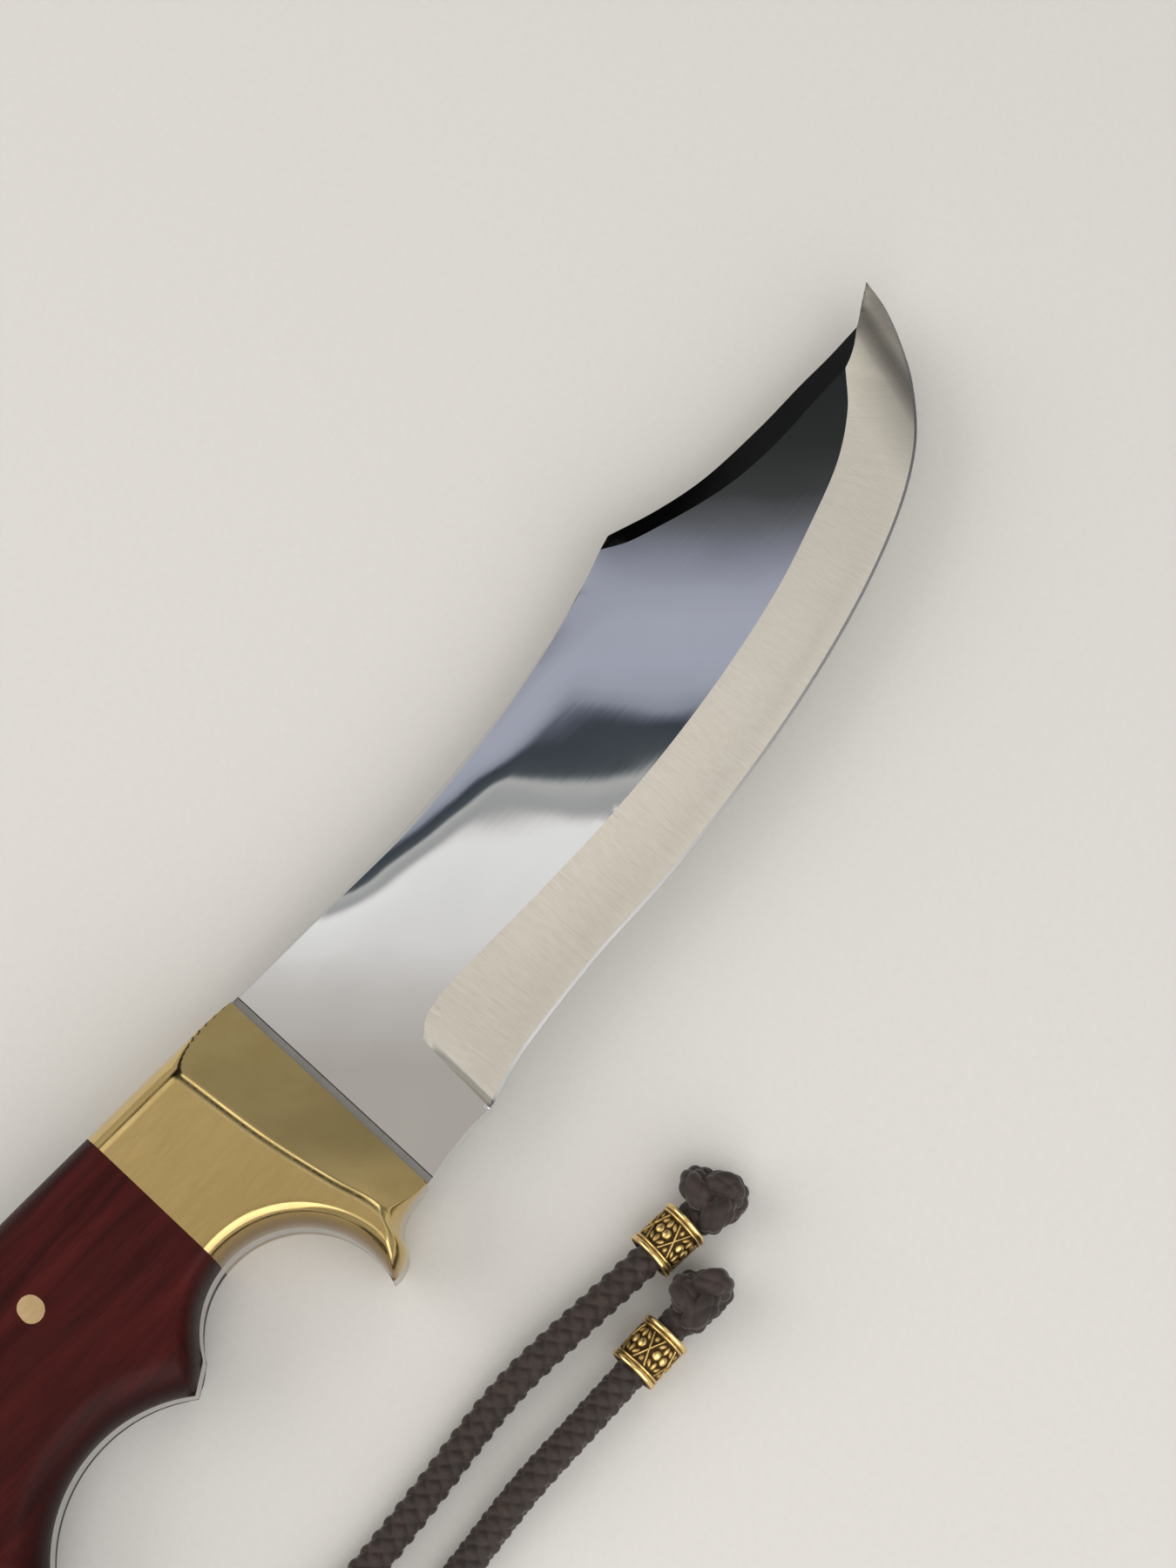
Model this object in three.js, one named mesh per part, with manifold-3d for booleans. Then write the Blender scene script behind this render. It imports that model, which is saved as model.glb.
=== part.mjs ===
// A fixed-blade hunting knife with an upswept blade, full tang, brass bolsters, wooden scales and a braided
// lanyard with two beads. Millimetres. The knife lies flat on its right side on the plane z = 0, with the tip
// along +X, the spine along +Y and the left side of the handle facing +Z.
import * as THREE from 'three';
import { LoftGeometry } from 'three/addons/geometries/LoftGeometry.js';
import { mergeVertices } from 'three/addons/utils/BufferGeometryUtils.js';
import Module from 'manifold-3d';

const wasm = await Module();
wasm.setup();

// Driving dimensions. x is 0 at the guard, where the blade leaves the bolsters; y is 0 on the blade's axis.
const CENTRE_X = 17.7; // middle of the knife's length, which becomes x = 0 of the part
const CENTRE_Y = 2.05; // middle of the knife's width, which becomes y = 0 of the part
const STEEL = 4.0; // thickness of the tang and of the blade at the guard
const TIP_STEEL = 2.2; // thickness of the plate at the tip, before the bevels
const EDGE_THICKNESS = 0.3; // of the cutting edge
const SWEDGE_EDGE = 1.0; // thickness left along the clip
const HANDLE_HALF = 9.5; // from the middle plane to the outer face of a scale or bolster
const BOLSTER_LENGTH = 29;
const BLADE_LENGTH = 155.4;
const BUTT_X = -120; // end of the exposed tang
const SCALE_END_X = -105;
const FIT = 0.2; // gap between pieces that touch
const SEAM = 0.7; // height of the bolster's front edge over the blade

const HANDLE_PIN = { radius: 2.8, sides: 32, half: HANDLE_HALF, places: [[-51.6, 8.4], [-91, 5.5]] };
const BOLSTER_PIN = { radius: 1.6, sides: 20, half: 7, places: [[-21, 12], [-20, 0]] };
const LANYARD_HOLE = { x: -111.3, y: 2, radius: 4.6 };
const TAB = { x: -109, y: 2, radius: 11 };

// The finger grooves, each an arc seen from above: centre and radius at the tang, and how much the radius has
// grown by the outer face, where the edge is rounded over.
const GROOVES = [
  { x: -27.5, y: -21, radius: 14.7, rounding: 2.7 },
  { x: -59, y: -33, radius: 22, rounding: 5.6 },
  { x: -97, y: -31, radius: 20, rounding: 5.2 },
];
// The straight run from the first groove down to the first peak of the handle.
const RAMP = { from: [-34.3, -9.95], to: [-49, -19.2], rounding: 3.6 };

// The handle's outline apart from its grooves: at each x, the spine and the lowest line of the peaks.
const HANDLE_STATIONS = [
  { x: 0, top: 20.4, bottom: -19.9 },
  { x: -3.7, top: 20.5, bottom: -20.3 },
  { x: -6.2, top: 20.6, bottom: -21 },
  { x: -8.2, top: 20.6, bottom: -22.8 },
  { x: -9.4, top: 20.7, bottom: -25 },
  { x: -12, top: 20.8, bottom: -26 },
  { x: -16, top: 20.9, bottom: -25.6 },
  { x: -29, top: 21.1, bottom: -22 },
  { x: -46, top: 21.4, bottom: -16.9 },
  { x: -62, top: 21.3, bottom: -18 },
  { x: -78, top: 20.4, bottom: -21.6 },
  { x: -92, top: 18.8, bottom: -20.5 },
  { x: -100, top: 17.2, bottom: -19.6, half: 9.3 },
  { x: -103.5, top: 15.8, bottom: -18.2, half: 8 },
  { x: SCALE_END_X, top: 14.2, bottom: -16.4, half: 5.6 },
];
const SPINE_ROUNDING = 4.4; // width of the rounded edges of the handle, seen from above
const BELLY_ROUNDING = 4;
const FLAT_FLANK = STEEL / 2 + 0.6; // the handle's sides stay upright this far from the middle plane

// The blade's lines, guard to tip, seen from above.
const SPINE = [[-2, 20.4], [24, 20.2], [40, 20.4], [57, 21.7], [72, 24.1], [84, 26.8], [94, 30.1]];
const CLIP = [[94, 30.1], [102.6, 27.3], [112, 25.4], [124, 24.8], [134, 24.9], [141, 24.8], [148, 25]];
const SWEDGE = [[90.6, 28.8], [100, 25], [109, 22.5], [121, 21], [131, 20.8], [139, 21], [145, 23.1]];
const NOSE = [151.6, 27.1]; // on the spine line between the clip and the tip
const EDGE = [
  [14.4, -18.9], [18.4, -17.7], [26, -16.2], [42, -14.7], [58, -14.3], [76, -12.9], [95, -10.2],
  [113, -6.2], [128, -1.2], [138.8, 4.5], [146.3, 11.5], [150.8, 17.9], [153.9, 24], [BLADE_LENGTH, 29.3],
];
const GRIND = [
  [15.4, -4.4], [19, -2.2], [27, -1.5], [42, -1.7], [58, -1.6], [74, -0.6], [90, 1.4],
  [105, 4.3], [117, 7.8], [127.5, 11.5], [135.5, 16.2], [141, 21.4], [148, 25.4], [BLADE_LENGTH - 0.5, 29.6],
];
const RICASSO = [[14.4, -18.9], [10, -18.7], [5, -19.1], [1.5, -19.7], [0, -19.9], [-2, -20]];

// The bolster's ridge, where the slanting front facet meets the outer face: x at each y.
const RIDGE = [[-14, 24], [-12.9, 16], [-11.4, 2], [-9.2, -10], [-7.5, -17], [-8.1, -21], [-11, -28]];

// The lanyard: a round braid, folded through the hole, with a bead and a knot near each end.
const CORD = { radius: 2.45, sides: 10 };
const BEAD = { half: 3.9, rim: 4, waist: 3.6, bore: 2.75, height: 4, ease: 0.3, lip: 0.9, slope: 0.4 };
const KNOT_HALF_HEIGHT = 4.5;
const LEGS = [
  {
    side: 'upper',
    bead: [4.7, -59.6],
    knot: { at: [15.3, -59.7], halfLength: 5, halfWidth: 4.8 },
    route: [
      [0, 0.12, 9.7], [0, 1.31, 11.76], [0, 2.86, 13.72], [-0.05, 4.8, 15.29], [-0.13, 7.04, 16.39],
      [-0.53, 9.39, 17.11], [-1.4, 11.7, 17.49], [-2.73, 13.8, 17.62], [-4.47, 15.58, 17.59],
      [-6.55, 16.96, 17.39], [-8.83, 17.88, 17], [-11.22, 18.33, 16.41], [-13.59, 18.31, 15.63],
      [-15.84, 17.86, 14.65], [-17.88, 17.04, 13.46], [-21.19, 14.62, 10.63], [-23.44, 11.61, 7.35],
      [-24.9, 8.1, 4.7], [-25.8, 4, 3.15], [-26.2, -1, 2.62], [-26, -8, 2.55], [-24.6, -17, 2.55],
      [-21, -27.5, 2.55], [-14.8, -38, 2.55], [-6, -47.6, 2.55], [5, -55, 2.55], [18, -60, 2.55],
      [33, -62.6, 2.55], [48, -63.3, 2.55], [62, -63.1, 2.55], [76, -62.3, 2.55], [84, -61.7, 3],
      [91, -61.4, 3.9], [103, -61.5, 4], [116, -61.6, 4], [121.3, -61.65, 4],
    ],
  },
  {
    side: 'lower',
    bead: [18.7, -50.6],
    knot: { at: [27.6, -51.4], halfLength: 4.5, halfWidth: 6 },
    route: [
      [0, -0.12, 9.3], [0, -1.04, 7.7], [0, -2.68, 5.58], [0, -4.81, 3.94], [0, -7.29, 2.91],
      [0, -9.96, 2.56], [0.15, -13.5, 2.55], [1.2, -19, 2.55], [4, -27.6, 2.55], [9.4, -36.4, 2.55],
      [18, -44, 2.55],
      [29, -49.2, 2.55], [42, -51.8, 2.55], [55, -52.3, 2.55], [67, -52.2, 2.55], [79, -51.4, 2.55],
      [90, -50.4, 2.55], [97.5, -50, 3], [104.5, -50.3, 3.9], [117, -51.4, 4], [130, -52.6, 4],
      [134.1, -52.97, 4],
    ],
  },
];
const CORD_STEPS = 40;

const steelFinish = { color: 0xc9c9c6, roughness: 0.18, metalness: 1 };
const brassFinish = { color: 0xcfa95a, roughness: 0.2, metalness: 1 };
const woodFinish = { color: 0x5a1e1c, roughness: 0.42, metalness: 0 };
const cordFinish = { color: 0x2a1a14, roughness: 0.8, metalness: 0 };

const at = (x, y, z) => new THREE.Vector3(x, y, z);
const curveThrough = (points) => new THREE.SplineCurve(points.map(([x, y]) => new THREE.Vector2(x, y)));

// A closed geometry as a manifold-3d solid, with any triangle that has closed up left out.
function solid(geometry) {
  const bare = new THREE.BufferGeometry();
  bare.setAttribute('position', geometry.getAttribute('position'));
  bare.setIndex(geometry.index);
  const merged = mergeVertices(bare, 1e-4);
  const index = merged.index.array;
  const kept = [];
  for (let i = 0; i < index.length; i += 3) {
    const [a, b, c] = [index[i], index[i + 1], index[i + 2]];
    if (a !== b && b !== c && c !== a) kept.push(a, b, c);
  }
  const triVerts = new Uint32Array(kept);
  const vertProperties = merged.attributes.position.array;
  return new wasm.Manifold(new wasm.Mesh({ numProp: 3, vertProperties, triVerts }));
}

function meshOf(name, body, finish) {
  const { numProp, vertProperties, triVerts } = body.getMesh();
  const geometry = new THREE.BufferGeometry();
  geometry.setAttribute('position', new THREE.BufferAttribute(new Float32Array(vertProperties), numProp));
  geometry.setIndex(new THREE.BufferAttribute(new Uint32Array(triVerts), 1));
  geometry.computeVertexNormals();
  const mesh = new THREE.Mesh(geometry, new THREE.MeshStandardMaterial(finish));
  mesh.name = name;
  return mesh;
}

// A box between two corners.
function block(low, high) {
  const size = high.map((value, axis) => value - low[axis]);
  const geometry = new THREE.BoxGeometry(...size);
  geometry.translate(...high.map((value, axis) => (value + low[axis]) / 2));
  return solid(geometry);
}

// A plate of an outline, from z = low to z = high.
function plate(points, low, high) {
  const along = { depth: high - low, bevelEnabled: false, curveSegments: 1 };
  const geometry = new THREE.ExtrudeGeometry(new THREE.Shape(points), along);
  geometry.translate(0, 0, low);
  return solid(geometry);
}

// An upright pin or hole.
function upright([x, y], radius, low, high, sides) {
  const geometry = new THREE.CylinderGeometry(radius, radius, high - low, sides);
  geometry.rotateX(Math.PI / 2);
  geometry.translate(x, y, (high + low) / 2);
  return solid(geometry);
}

const middleOf = (points) => points.reduce((sum, p) => sum.add(p), at(0, 0, 0)).divideScalar(points.length);

// A solid through sections that each hold the same number of points, in either turning direction.
function loft(sections) {
  const start = middleOf(sections[0]);
  const onward = middleOf(sections[1]).sub(start);
  const facing = at(0, 0, 0);
  sections[0].forEach((p, i, ring) => {
    const next = ring[(i + 1) % ring.length];
    facing.add(p.clone().sub(start).cross(next.clone().sub(start)));
  });
  const ordered = facing.dot(onward) > 0 ? sections : sections.map((ring) => [...ring].reverse());
  return solid(new LoftGeometry(ordered, { capStart: true, capEnd: true }));
}

// How far a rounded edge has drawn in at a height over the middle plane: nothing at the tang, all at
// the face.
function drawnIn(height, rounding) {
  const rise = Math.min(Math.max((height - FLAT_FLANK) / (HANDLE_HALF - FLAT_FLANK), 0), 1);
  return rounding * (1 - Math.sqrt(1 - rise * rise));
}

const FLANK_HEIGHTS = [FLAT_FLANK, 4.4, 6, 7.3, 8.3, 9, HANDLE_HALF];

// One section of the handle, across X: a rounded block from the lowest line of the peaks up to the spine.
function handleSection({ x, top, bottom, half = HANDLE_HALF }) {
  const scale = half / HANDLE_HALF;
  const above = FLANK_HEIGHTS.map((z) => at(x, top - drawnIn(z, SPINE_ROUNDING), z * scale));
  const below = FLANK_HEIGHTS.map((z) => at(x, bottom + drawnIn(z, BELLY_ROUNDING), z * scale)).reverse();
  const leftSide = [...above, ...below];
  const rightSide = leftSide.map((p) => at(x, p.y, -p.z)).reverse();
  return [...leftSide, ...rightSide];
}

// A finger groove: a spool that widens towards both faces of the handle.
function grooveCutter({ x, y, radius, rounding }) {
  const flare = FLANK_HEIGHTS.map((z) => new THREE.Vector2(radius + drawnIn(z, rounding), z));
  const outer = new THREE.Vector2(radius + rounding, HANDLE_HALF + 1);
  const upper = [...flare, outer, new THREE.Vector2(0, HANDLE_HALF + 1)];
  const lower = upper.map((p) => new THREE.Vector2(p.x, -p.y)).reverse();
  const geometry = new THREE.LatheGeometry([...lower, ...upper], 72);
  geometry.rotateX(Math.PI / 2);
  geometry.translate(x, y, 0);
  return solid(geometry);
}

// The straight ramp behind the first groove: the same rounded edge, along a line.
function rampCutter({ from, to, rounding }) {
  const along = new THREE.Vector2(to[0] - from[0], to[1] - from[1]).normalize();
  const outward = new THREE.Vector2(-along.y, along.x);
  const depth = -20;
  const sectionAt = ([x, y]) => {
    const heights = [...FLANK_HEIGHTS, HANDLE_HALF + 1];
    const edge = heights.map((z) => [-drawnIn(Math.min(z, HANDLE_HALF), rounding), z]);
    const upper = [...edge, [-depth, HANDLE_HALF + 1]];
    const lower = upper.map(([across, z]) => [across, -z]).reverse();
    return [...lower, ...upper].map(([across, z]) => at(x + outward.x * across, y + outward.y * across, z));
  };
  return loft([sectionAt(from), sectionAt(to)]);
}

// The whole handle as one block, which is then cut into tang, bolsters and scales.
function handleBlock() {
  let body = loft(HANDLE_STATIONS.map(handleSection));
  for (const groove of GROOVES) body = body.subtract(grooveCutter(groove));
  return body.subtract(rampCutter(RAMP));
}

// Half the steel's thickness at x: full at the guard, thinner to the tip.
const halfSteel = (x) => STEEL / 2 - ((STEEL - TIP_STEEL) / 2) * Math.max(x / BLADE_LENGTH, 0);

// What a bevel takes off one side of the blade: from the line `inner` on the face down to `half` at `outer`.
function bevelCutter(inner, outer, half, stations) {
  const [from, to] = [curveThrough(inner), curveThrough(outer)];
  const sections = [];
  for (let i = 0; i <= stations; i++) {
    const [a, b] = [from.getPoint(i / stations), to.getPoint(i / stations)];
    const high = at(a.x, a.y, halfSteel(a.x));
    const low = at(b.x, b.y, Math.min(half, high.z));
    const past = high.clone().lerp(low, 1.15);
    const before = high.clone().lerp(low, -0.02);
    sections.push([before, past, at(past.x, past.y, STEEL), at(before.x, before.y, STEEL)]);
  }
  return loft(sections);
}

const mirrored = (body) => body.mirror([0, 0, 1]);
const onBothSides = (body) => body.add(mirrored(body));

function bladeAndTang(handle) {
  const spine = curveThrough(SPINE).getPoints(30);
  const clip = curveThrough([...CLIP, NOSE]).getPoints(35).slice(1);
  const edge = curveThrough(EDGE).getPoints(60).reverse();
  const ricasso = curveThrough(RICASSO).getPoints(8).slice(1);
  let blade = plate([...spine, ...clip, ...edge, ...ricasso], -STEEL / 2, STEEL / 2);
  const taper = new THREE.BoxGeometry(BLADE_LENGTH * 2, 200, STEEL);
  taper.translate(BLADE_LENGTH, 0, STEEL);
  taper.rotateY(Math.atan((STEEL - TIP_STEEL) / 2 / BLADE_LENGTH));
  blade = blade.subtract(onBothSides(solid(taper)));
  blade = blade.subtract(onBothSides(bevelCutter(GRIND, EDGE, EDGE_THICKNESS / 2, 60)));
  blade = blade.subtract(onBothSides(bevelCutter(SWEDGE, CLIP, SWEDGE_EDGE / 2, 36)));

  const slab = block([SCALE_END_X, -40, -STEEL / 2], [0.01, 40, STEEL / 2]);
  let tang = handle.intersect(slab);
  tang = tang.add(upright([TAB.x, TAB.y], TAB.radius, -STEEL / 2, STEEL / 2, 64));
  tang = tang.subtract(upright([LANYARD_HOLE.x, LANYARD_HOLE.y], LANYARD_HOLE.radius, -STEEL, STEEL, 40));
  for (const { radius, places, sides } of [HANDLE_PIN, BOLSTER_PIN]) {
    for (const place of places) tang = tang.subtract(upright(place, radius + FIT, -STEEL, STEEL, sides));
  }
  return tang.add(blade);
}

// What the slanting front facet takes off the left bolster.
function facetCutter() {
  const ridge = curveThrough(RIDGE).getPoints(24);
  const foot = STEEL / 2 + SEAM;
  return loft(ridge.map(({ x, y }) => {
    const slope = (HANDLE_HALF - foot) / -x;
    const raised = 2;
    return [
      at(x - raised / slope, y, HANDLE_HALF + raised), at(0.5, y, foot - 0.5 * slope),
      at(0.5, y, HANDLE_HALF + raised + 1), at(x - raised / slope, y, HANDLE_HALF + raised + 1),
    ];
  }));
}

function leftBolster(handle) {
  const room = block([-BOLSTER_LENGTH, -40, STEEL / 2 + FIT], [0, 40, HANDLE_HALF + 1]);
  let body = handle.intersect(room).subtract(facetCutter());
  const { radius, sides, half, places } = BOLSTER_PIN;
  for (const place of places) body = body.subtract(upright(place, radius + FIT, 0, half + FIT, sides));
  return body;
}

function leftScale(handle) {
  const room = block([SCALE_END_X - 5, -40, STEEL / 2 + FIT], [-BOLSTER_LENGTH - FIT, 40, HANDLE_HALF + 1]);
  let body = handle.intersect(room);
  const { radius, sides, places } = HANDLE_PIN;
  for (const place of places) body = body.subtract(upright(place, radius + FIT, 0, HANDLE_HALF + 1, sides));
  return body;
}

// A leg of the lanyard: a braid's outer shape along its route from the hole.
function cordLeg({ route }) {
  const path = new THREE.CatmullRomCurve3(
    route.map(([x, y, z]) => at(LANYARD_HOLE.x + x, LANYARD_HOLE.y + y, z)), false, 'centripetal');
  const section = new THREE.Shape();
  section.absarc(0, 0, CORD.radius, 0, Math.PI * 2);
  const along = { extrudePath: path, steps: CORD_STEPS, curveSegments: CORD.sides, bevelEnabled: false };
  return solid(new THREE.ExtrudeGeometry(section, along));
}

// The direction of a leg's straight end, from the knot back towards the hole.
function endDirection({ bead, knot }) {
  return new THREE.Vector2(bead[0] - knot.at[0], bead[1] - knot.at[1]).normalize();
}

// A turned bead, its bore along the cord.
function beadBody(leg) {
  const { half, rim, waist, bore, ease, lip, slope } = BEAD;
  const profile = [
    [bore, -half], [rim - ease, -half], [rim, -half + ease], [rim, -half + lip], [waist, -half + lip + slope],
    [waist, half - lip - slope], [rim, half - lip], [rim, half - ease], [rim - ease, half], [bore, half],
    [bore, -half],
  ];
  const geometry = new THREE.LatheGeometry(profile.map(([r, y]) => new THREE.Vector2(r, y)), 32);
  geometry.rotateZ(-Math.PI / 2);
  geometry.rotateZ(endDirection(leg).angle());
  geometry.translate(leg.bead[0], leg.bead[1], BEAD.height);
  return solid(geometry);
}

// The stopper knot: a ball a little longer or wider than high, resting on the surface.
function knotBody(leg) {
  const { at: [x, y], halfLength, halfWidth } = leg.knot;
  const geometry = new THREE.SphereGeometry(1, 24, 16);
  geometry.scale(halfLength, halfWidth, KNOT_HALF_HEIGHT);
  geometry.rotateZ(endDirection(leg).angle());
  geometry.translate(x, y, KNOT_HALF_HEIGHT);
  return solid(geometry);
}

const knife = new THREE.Group();
const lanyard = new THREE.Group();
const handle = handleBlock();

knife.add(meshOf('blade', bladeAndTang(handle), steelFinish));

const bolster = leftBolster(handle);
knife.add(meshOf('bolster_left', bolster, brassFinish));
knife.add(meshOf('bolster_right', mirrored(bolster), brassFinish));

const scale = leftScale(handle);
knife.add(meshOf('scale_left', scale, woodFinish));
knife.add(meshOf('scale_right', mirrored(scale), woodFinish));

['front', 'rear'].forEach((end, i) => {
  for (const [name, { radius, sides, half, places }] of [['handle', HANDLE_PIN], ['bolster', BOLSTER_PIN]]) {
    const pin = upright(places[i], radius, -half, half, sides);
    knife.add(meshOf(`${name}_pin_${end}`, pin, brassFinish));
  }
});
knife.position.set(0, 0, HANDLE_HALF);

for (const leg of LEGS) {
  lanyard.add(meshOf(`lanyard_cord_${leg.side}`, cordLeg(leg), cordFinish));
  lanyard.add(meshOf(`bead_${leg.side}`, beadBody(leg), brassFinish));
  lanyard.add(meshOf(`knot_${leg.side}`, knotBody(leg), cordFinish));
}

const part = new THREE.Group();
part.add(knife, lanyard);
part.position.set(-CENTRE_X, -CENTRE_Y, 0);

export default part;
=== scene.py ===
"""A fixed-blade hunting knife with brass bolsters, wooden scales and a braided lanyard, on a pale floor.

Shapes are worked out in the knife's own frame, in millimetres: x is 0 at the guard and grows to the tip,
y grows to the spine and z is the height over the middle plane of the steel. to_row() takes them to the
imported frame.
"""
import math

import bpy
import numpy as np
from mathutils import Matrix, Vector
from mathutils.geometry import delaunay_2d_cdt


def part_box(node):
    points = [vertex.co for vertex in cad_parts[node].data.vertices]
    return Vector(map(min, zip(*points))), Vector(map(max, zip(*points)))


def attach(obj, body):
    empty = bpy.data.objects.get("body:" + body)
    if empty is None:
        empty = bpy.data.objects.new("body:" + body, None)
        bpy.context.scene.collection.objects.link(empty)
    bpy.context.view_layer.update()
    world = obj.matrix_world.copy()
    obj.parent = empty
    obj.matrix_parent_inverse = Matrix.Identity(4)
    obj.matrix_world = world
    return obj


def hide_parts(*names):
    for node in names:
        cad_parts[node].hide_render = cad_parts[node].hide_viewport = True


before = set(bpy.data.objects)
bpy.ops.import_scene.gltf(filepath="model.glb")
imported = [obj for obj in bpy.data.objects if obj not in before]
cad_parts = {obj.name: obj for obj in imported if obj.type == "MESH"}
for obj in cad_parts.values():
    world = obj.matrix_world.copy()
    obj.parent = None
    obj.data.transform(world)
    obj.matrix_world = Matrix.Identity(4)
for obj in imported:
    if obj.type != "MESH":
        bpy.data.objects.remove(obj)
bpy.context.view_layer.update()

MM = 0.001
CREASE = 40  # degrees

# ---- The frame: where the knife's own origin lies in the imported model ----
blade_low, blade_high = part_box("blade")
_, bolster_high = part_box("bolster_left")
CLIP_PEAK_Y = 30.1  # the blade's highest point over its axis
GUARD = np.array([
    bolster_high[0] / MM,
    blade_high[1] / MM - CLIP_PEAK_Y,
    (blade_low[2] + blade_high[2]) / 2 / MM,
])

# Driving dimensions, as in part.mjs
STEEL = 4.0
TIP_STEEL = 2.2
HANDLE_HALF = 9.5
BOLSTER_LENGTH = 29.0
BLADE_LENGTH = 155.4
SCALE_END_X = -105.0
FLAT_FLANK = STEEL / 2 + 0.6
SPINE_ROUNDING = 4.4
BELLY_ROUNDING = 4.0
SEAM = 0.7
PIN_RADIUS = 2.8
PINS = {"handle_pin_front": (-51.6, 8.4), "handle_pin_rear": (-91.0, 5.5)}
HOLE = (-111.3, 2.0, 4.6)  # the lanyard hole: x, y and radius
TAB = (-109.0, 2.0, 11.0)  # the tang's round end: x, y and radius
GROOVES = [  # centre x, y, radius at the tang, growth by the outer face
    (-27.5, -21.0, 14.7, 2.7),
    (-59.0, -33.0, 22.0, 5.6),
    (-97.0, -31.0, 20.0, 5.2),
]
RAMP_FROM, RAMP_TO, RAMP_ROUNDING = (-34.3, -9.95), (-49.0, -19.2), 3.6  # behind the first groove
SPINE_OF_HANDLE = [(0, 20.4), (-12, 20.8), (-29, 21.1), (-46, 21.4), (-62, 21.3), (-78, 20.4), (-92, 18.8),
                   (-100, 17.2), (-105, 15.2)]
PEAK_LINE = [(0, -19.9), (-3.7, -20.3), (-6.2, -21), (-8.2, -22.8), (-9.4, -25), (-12, -26), (-16, -25.6),
             (-29, -22), (-46, -16.9), (-62, -18), (-78, -21.6), (-92, -20.5), (-100, -19.6), (-105, -17.4)]
RIDGE = [(-28, -11), (-21, -8.1), (-17, -7.5), (-10, -9.2), (2, -11.4), (16, -12.9), (24, -14)]  # y, x


def to_row(points):
    """Points in the knife's frame, in millimetres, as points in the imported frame, in metres."""
    return (np.asarray(points, dtype=float) + GUARD) * MM


# ---- Mesh and curve helpers ----
def smooth_step(x, low, high):
    t = np.clip((x - low) / (high - low), 0, 1)
    return t * t * (3 - 2 * t)


def spline(points, per_span):
    """A uniform Catmull-Rom curve with per_span steps between one point and the next."""
    p = np.asarray(points, dtype=float)
    p = np.vstack([2 * p[0] - p[1], p, 2 * p[-1] - p[-2]])
    t = np.linspace(0, 1, per_span, endpoint=False)[:, None]
    out = []
    for a, b, c, d in zip(p, p[1:], p[2:], p[3:]):
        bend = 2 * a - 5 * b + 4 * c - d
        twist = 3 * b - a - 3 * c + d
        out.append(0.5 * (2 * b + (c - a) * t + bend * t**2 + twist * t**3))
    return np.vstack(out + [p[-2][None]])


def distance_along(points):
    """Length along a polyline, from its start to each of its points."""
    return np.concatenate([[0], np.cumsum(np.linalg.norm(np.diff(points, axis=0), axis=1))])


def evenly(points, step):
    """The polyline's points again, at even distances of about step."""
    p = np.asarray(points, dtype=float)
    s = distance_along(p)
    at = np.linspace(0, s[-1], max(2, round(s[-1] / step) + 1))
    return np.stack([np.interp(at, s, column) for column in p.T], axis=1)


def arc(centre_x, centre_y, radius, angles):
    return np.stack([centre_x + radius * np.cos(angles), centre_y + radius * np.sin(angles)], axis=1)


def soft_min(a, b, width):
    """The lower of two heights, rounded over where they meet."""
    h = np.clip(0.5 + 0.5 * (b - a) / width, 0, 1)
    return b * (1 - h) + a * h - width * h * (1 - h)


def make_object(name, points, faces, smooth=True):
    mesh = bpy.data.meshes.new(name)
    mesh.from_pydata([tuple(p) for p in points], [], [tuple(int(i) for i in f) for f in faces])
    mesh.validate()
    mesh.polygons.foreach_set("use_smooth", [smooth] * len(mesh.polygons))
    mesh.update()
    obj = bpy.data.objects.new(name, mesh)
    bpy.context.scene.collection.objects.link(obj)
    return obj


def store(obj, name, values):
    """A number for each point, for the materials to read."""
    layer = obj.data.attributes.new(name, "FLOAT", "POINT")
    layer.data.foreach_set("value", np.asarray(values, dtype=np.float32).ravel())


def grid_faces(rows, columns, offset=0, flip=False, around=False):
    """Quads over a grid of rows x columns points; around joins the last column to the first."""
    i, j = np.meshgrid(np.arange(rows - 1), np.arange(columns if around else columns - 1), indexing="ij")
    k = (j + 1) % columns
    a, b = i * columns + j, i * columns + k
    c, d = (i + 1) * columns + k, (i + 1) * columns + j
    quads = np.stack([a, d, c, b] if flip else [a, b, c, d], axis=-1).reshape(-1, 4)
    return quads + offset


def capped_faces(rings, sides):
    """Faces of a tube of rings, closed by fans to two points more: its first end's and its last end's."""
    count = rings * sides
    faces = [tuple(f) for f in grid_faces(rings, sides, around=True)]
    for j in range(sides):
        k = (j + 1) % sides
        faces.append((count, k, j))
        faces.append((count + 1, count - sides + j, count - sides + k))
    return faces


def closed_plate(name, top, bottom):
    """A closed body between two grids of the same size, top over bottom."""
    rows, columns = top.shape[:2]
    count = rows * columns
    index = np.arange(count).reshape(rows, columns)
    rim = np.concatenate([index[0, :-1], index[:-1, -1], index[-1, :0:-1], index[:0:-1, 0]])
    after = np.roll(rim, -1)
    walls = np.stack([rim, rim + count, after + count, after], axis=-1)
    faces = np.vstack([grid_faces(rows, columns), grid_faces(rows, columns, count, flip=True), walls])
    points = np.vstack([top.reshape(-1, 3), bottom.reshape(-1, 3)])
    obj = make_object(name, to_row(points), faces)
    face_outwards(obj)
    return obj


def face_outwards(obj):
    """Turns the whole closed mesh outwards, if its volume says that it is inside out."""
    mesh = obj.data
    mesh.calc_loop_triangles()
    volume = 0.0
    for tri in mesh.loop_triangles:
        a, b, c = (mesh.vertices[i].co for i in tri.vertices)
        volume += a.dot(b.cross(c))
    if volume < 0:
        mesh.flip_normals()


def sharpen(obj):
    """Keeps edges over CREASE degrees crisp while the rest is smooth."""
    obj.data.set_sharp_from_angle(angle=math.radians(CREASE))


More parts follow.
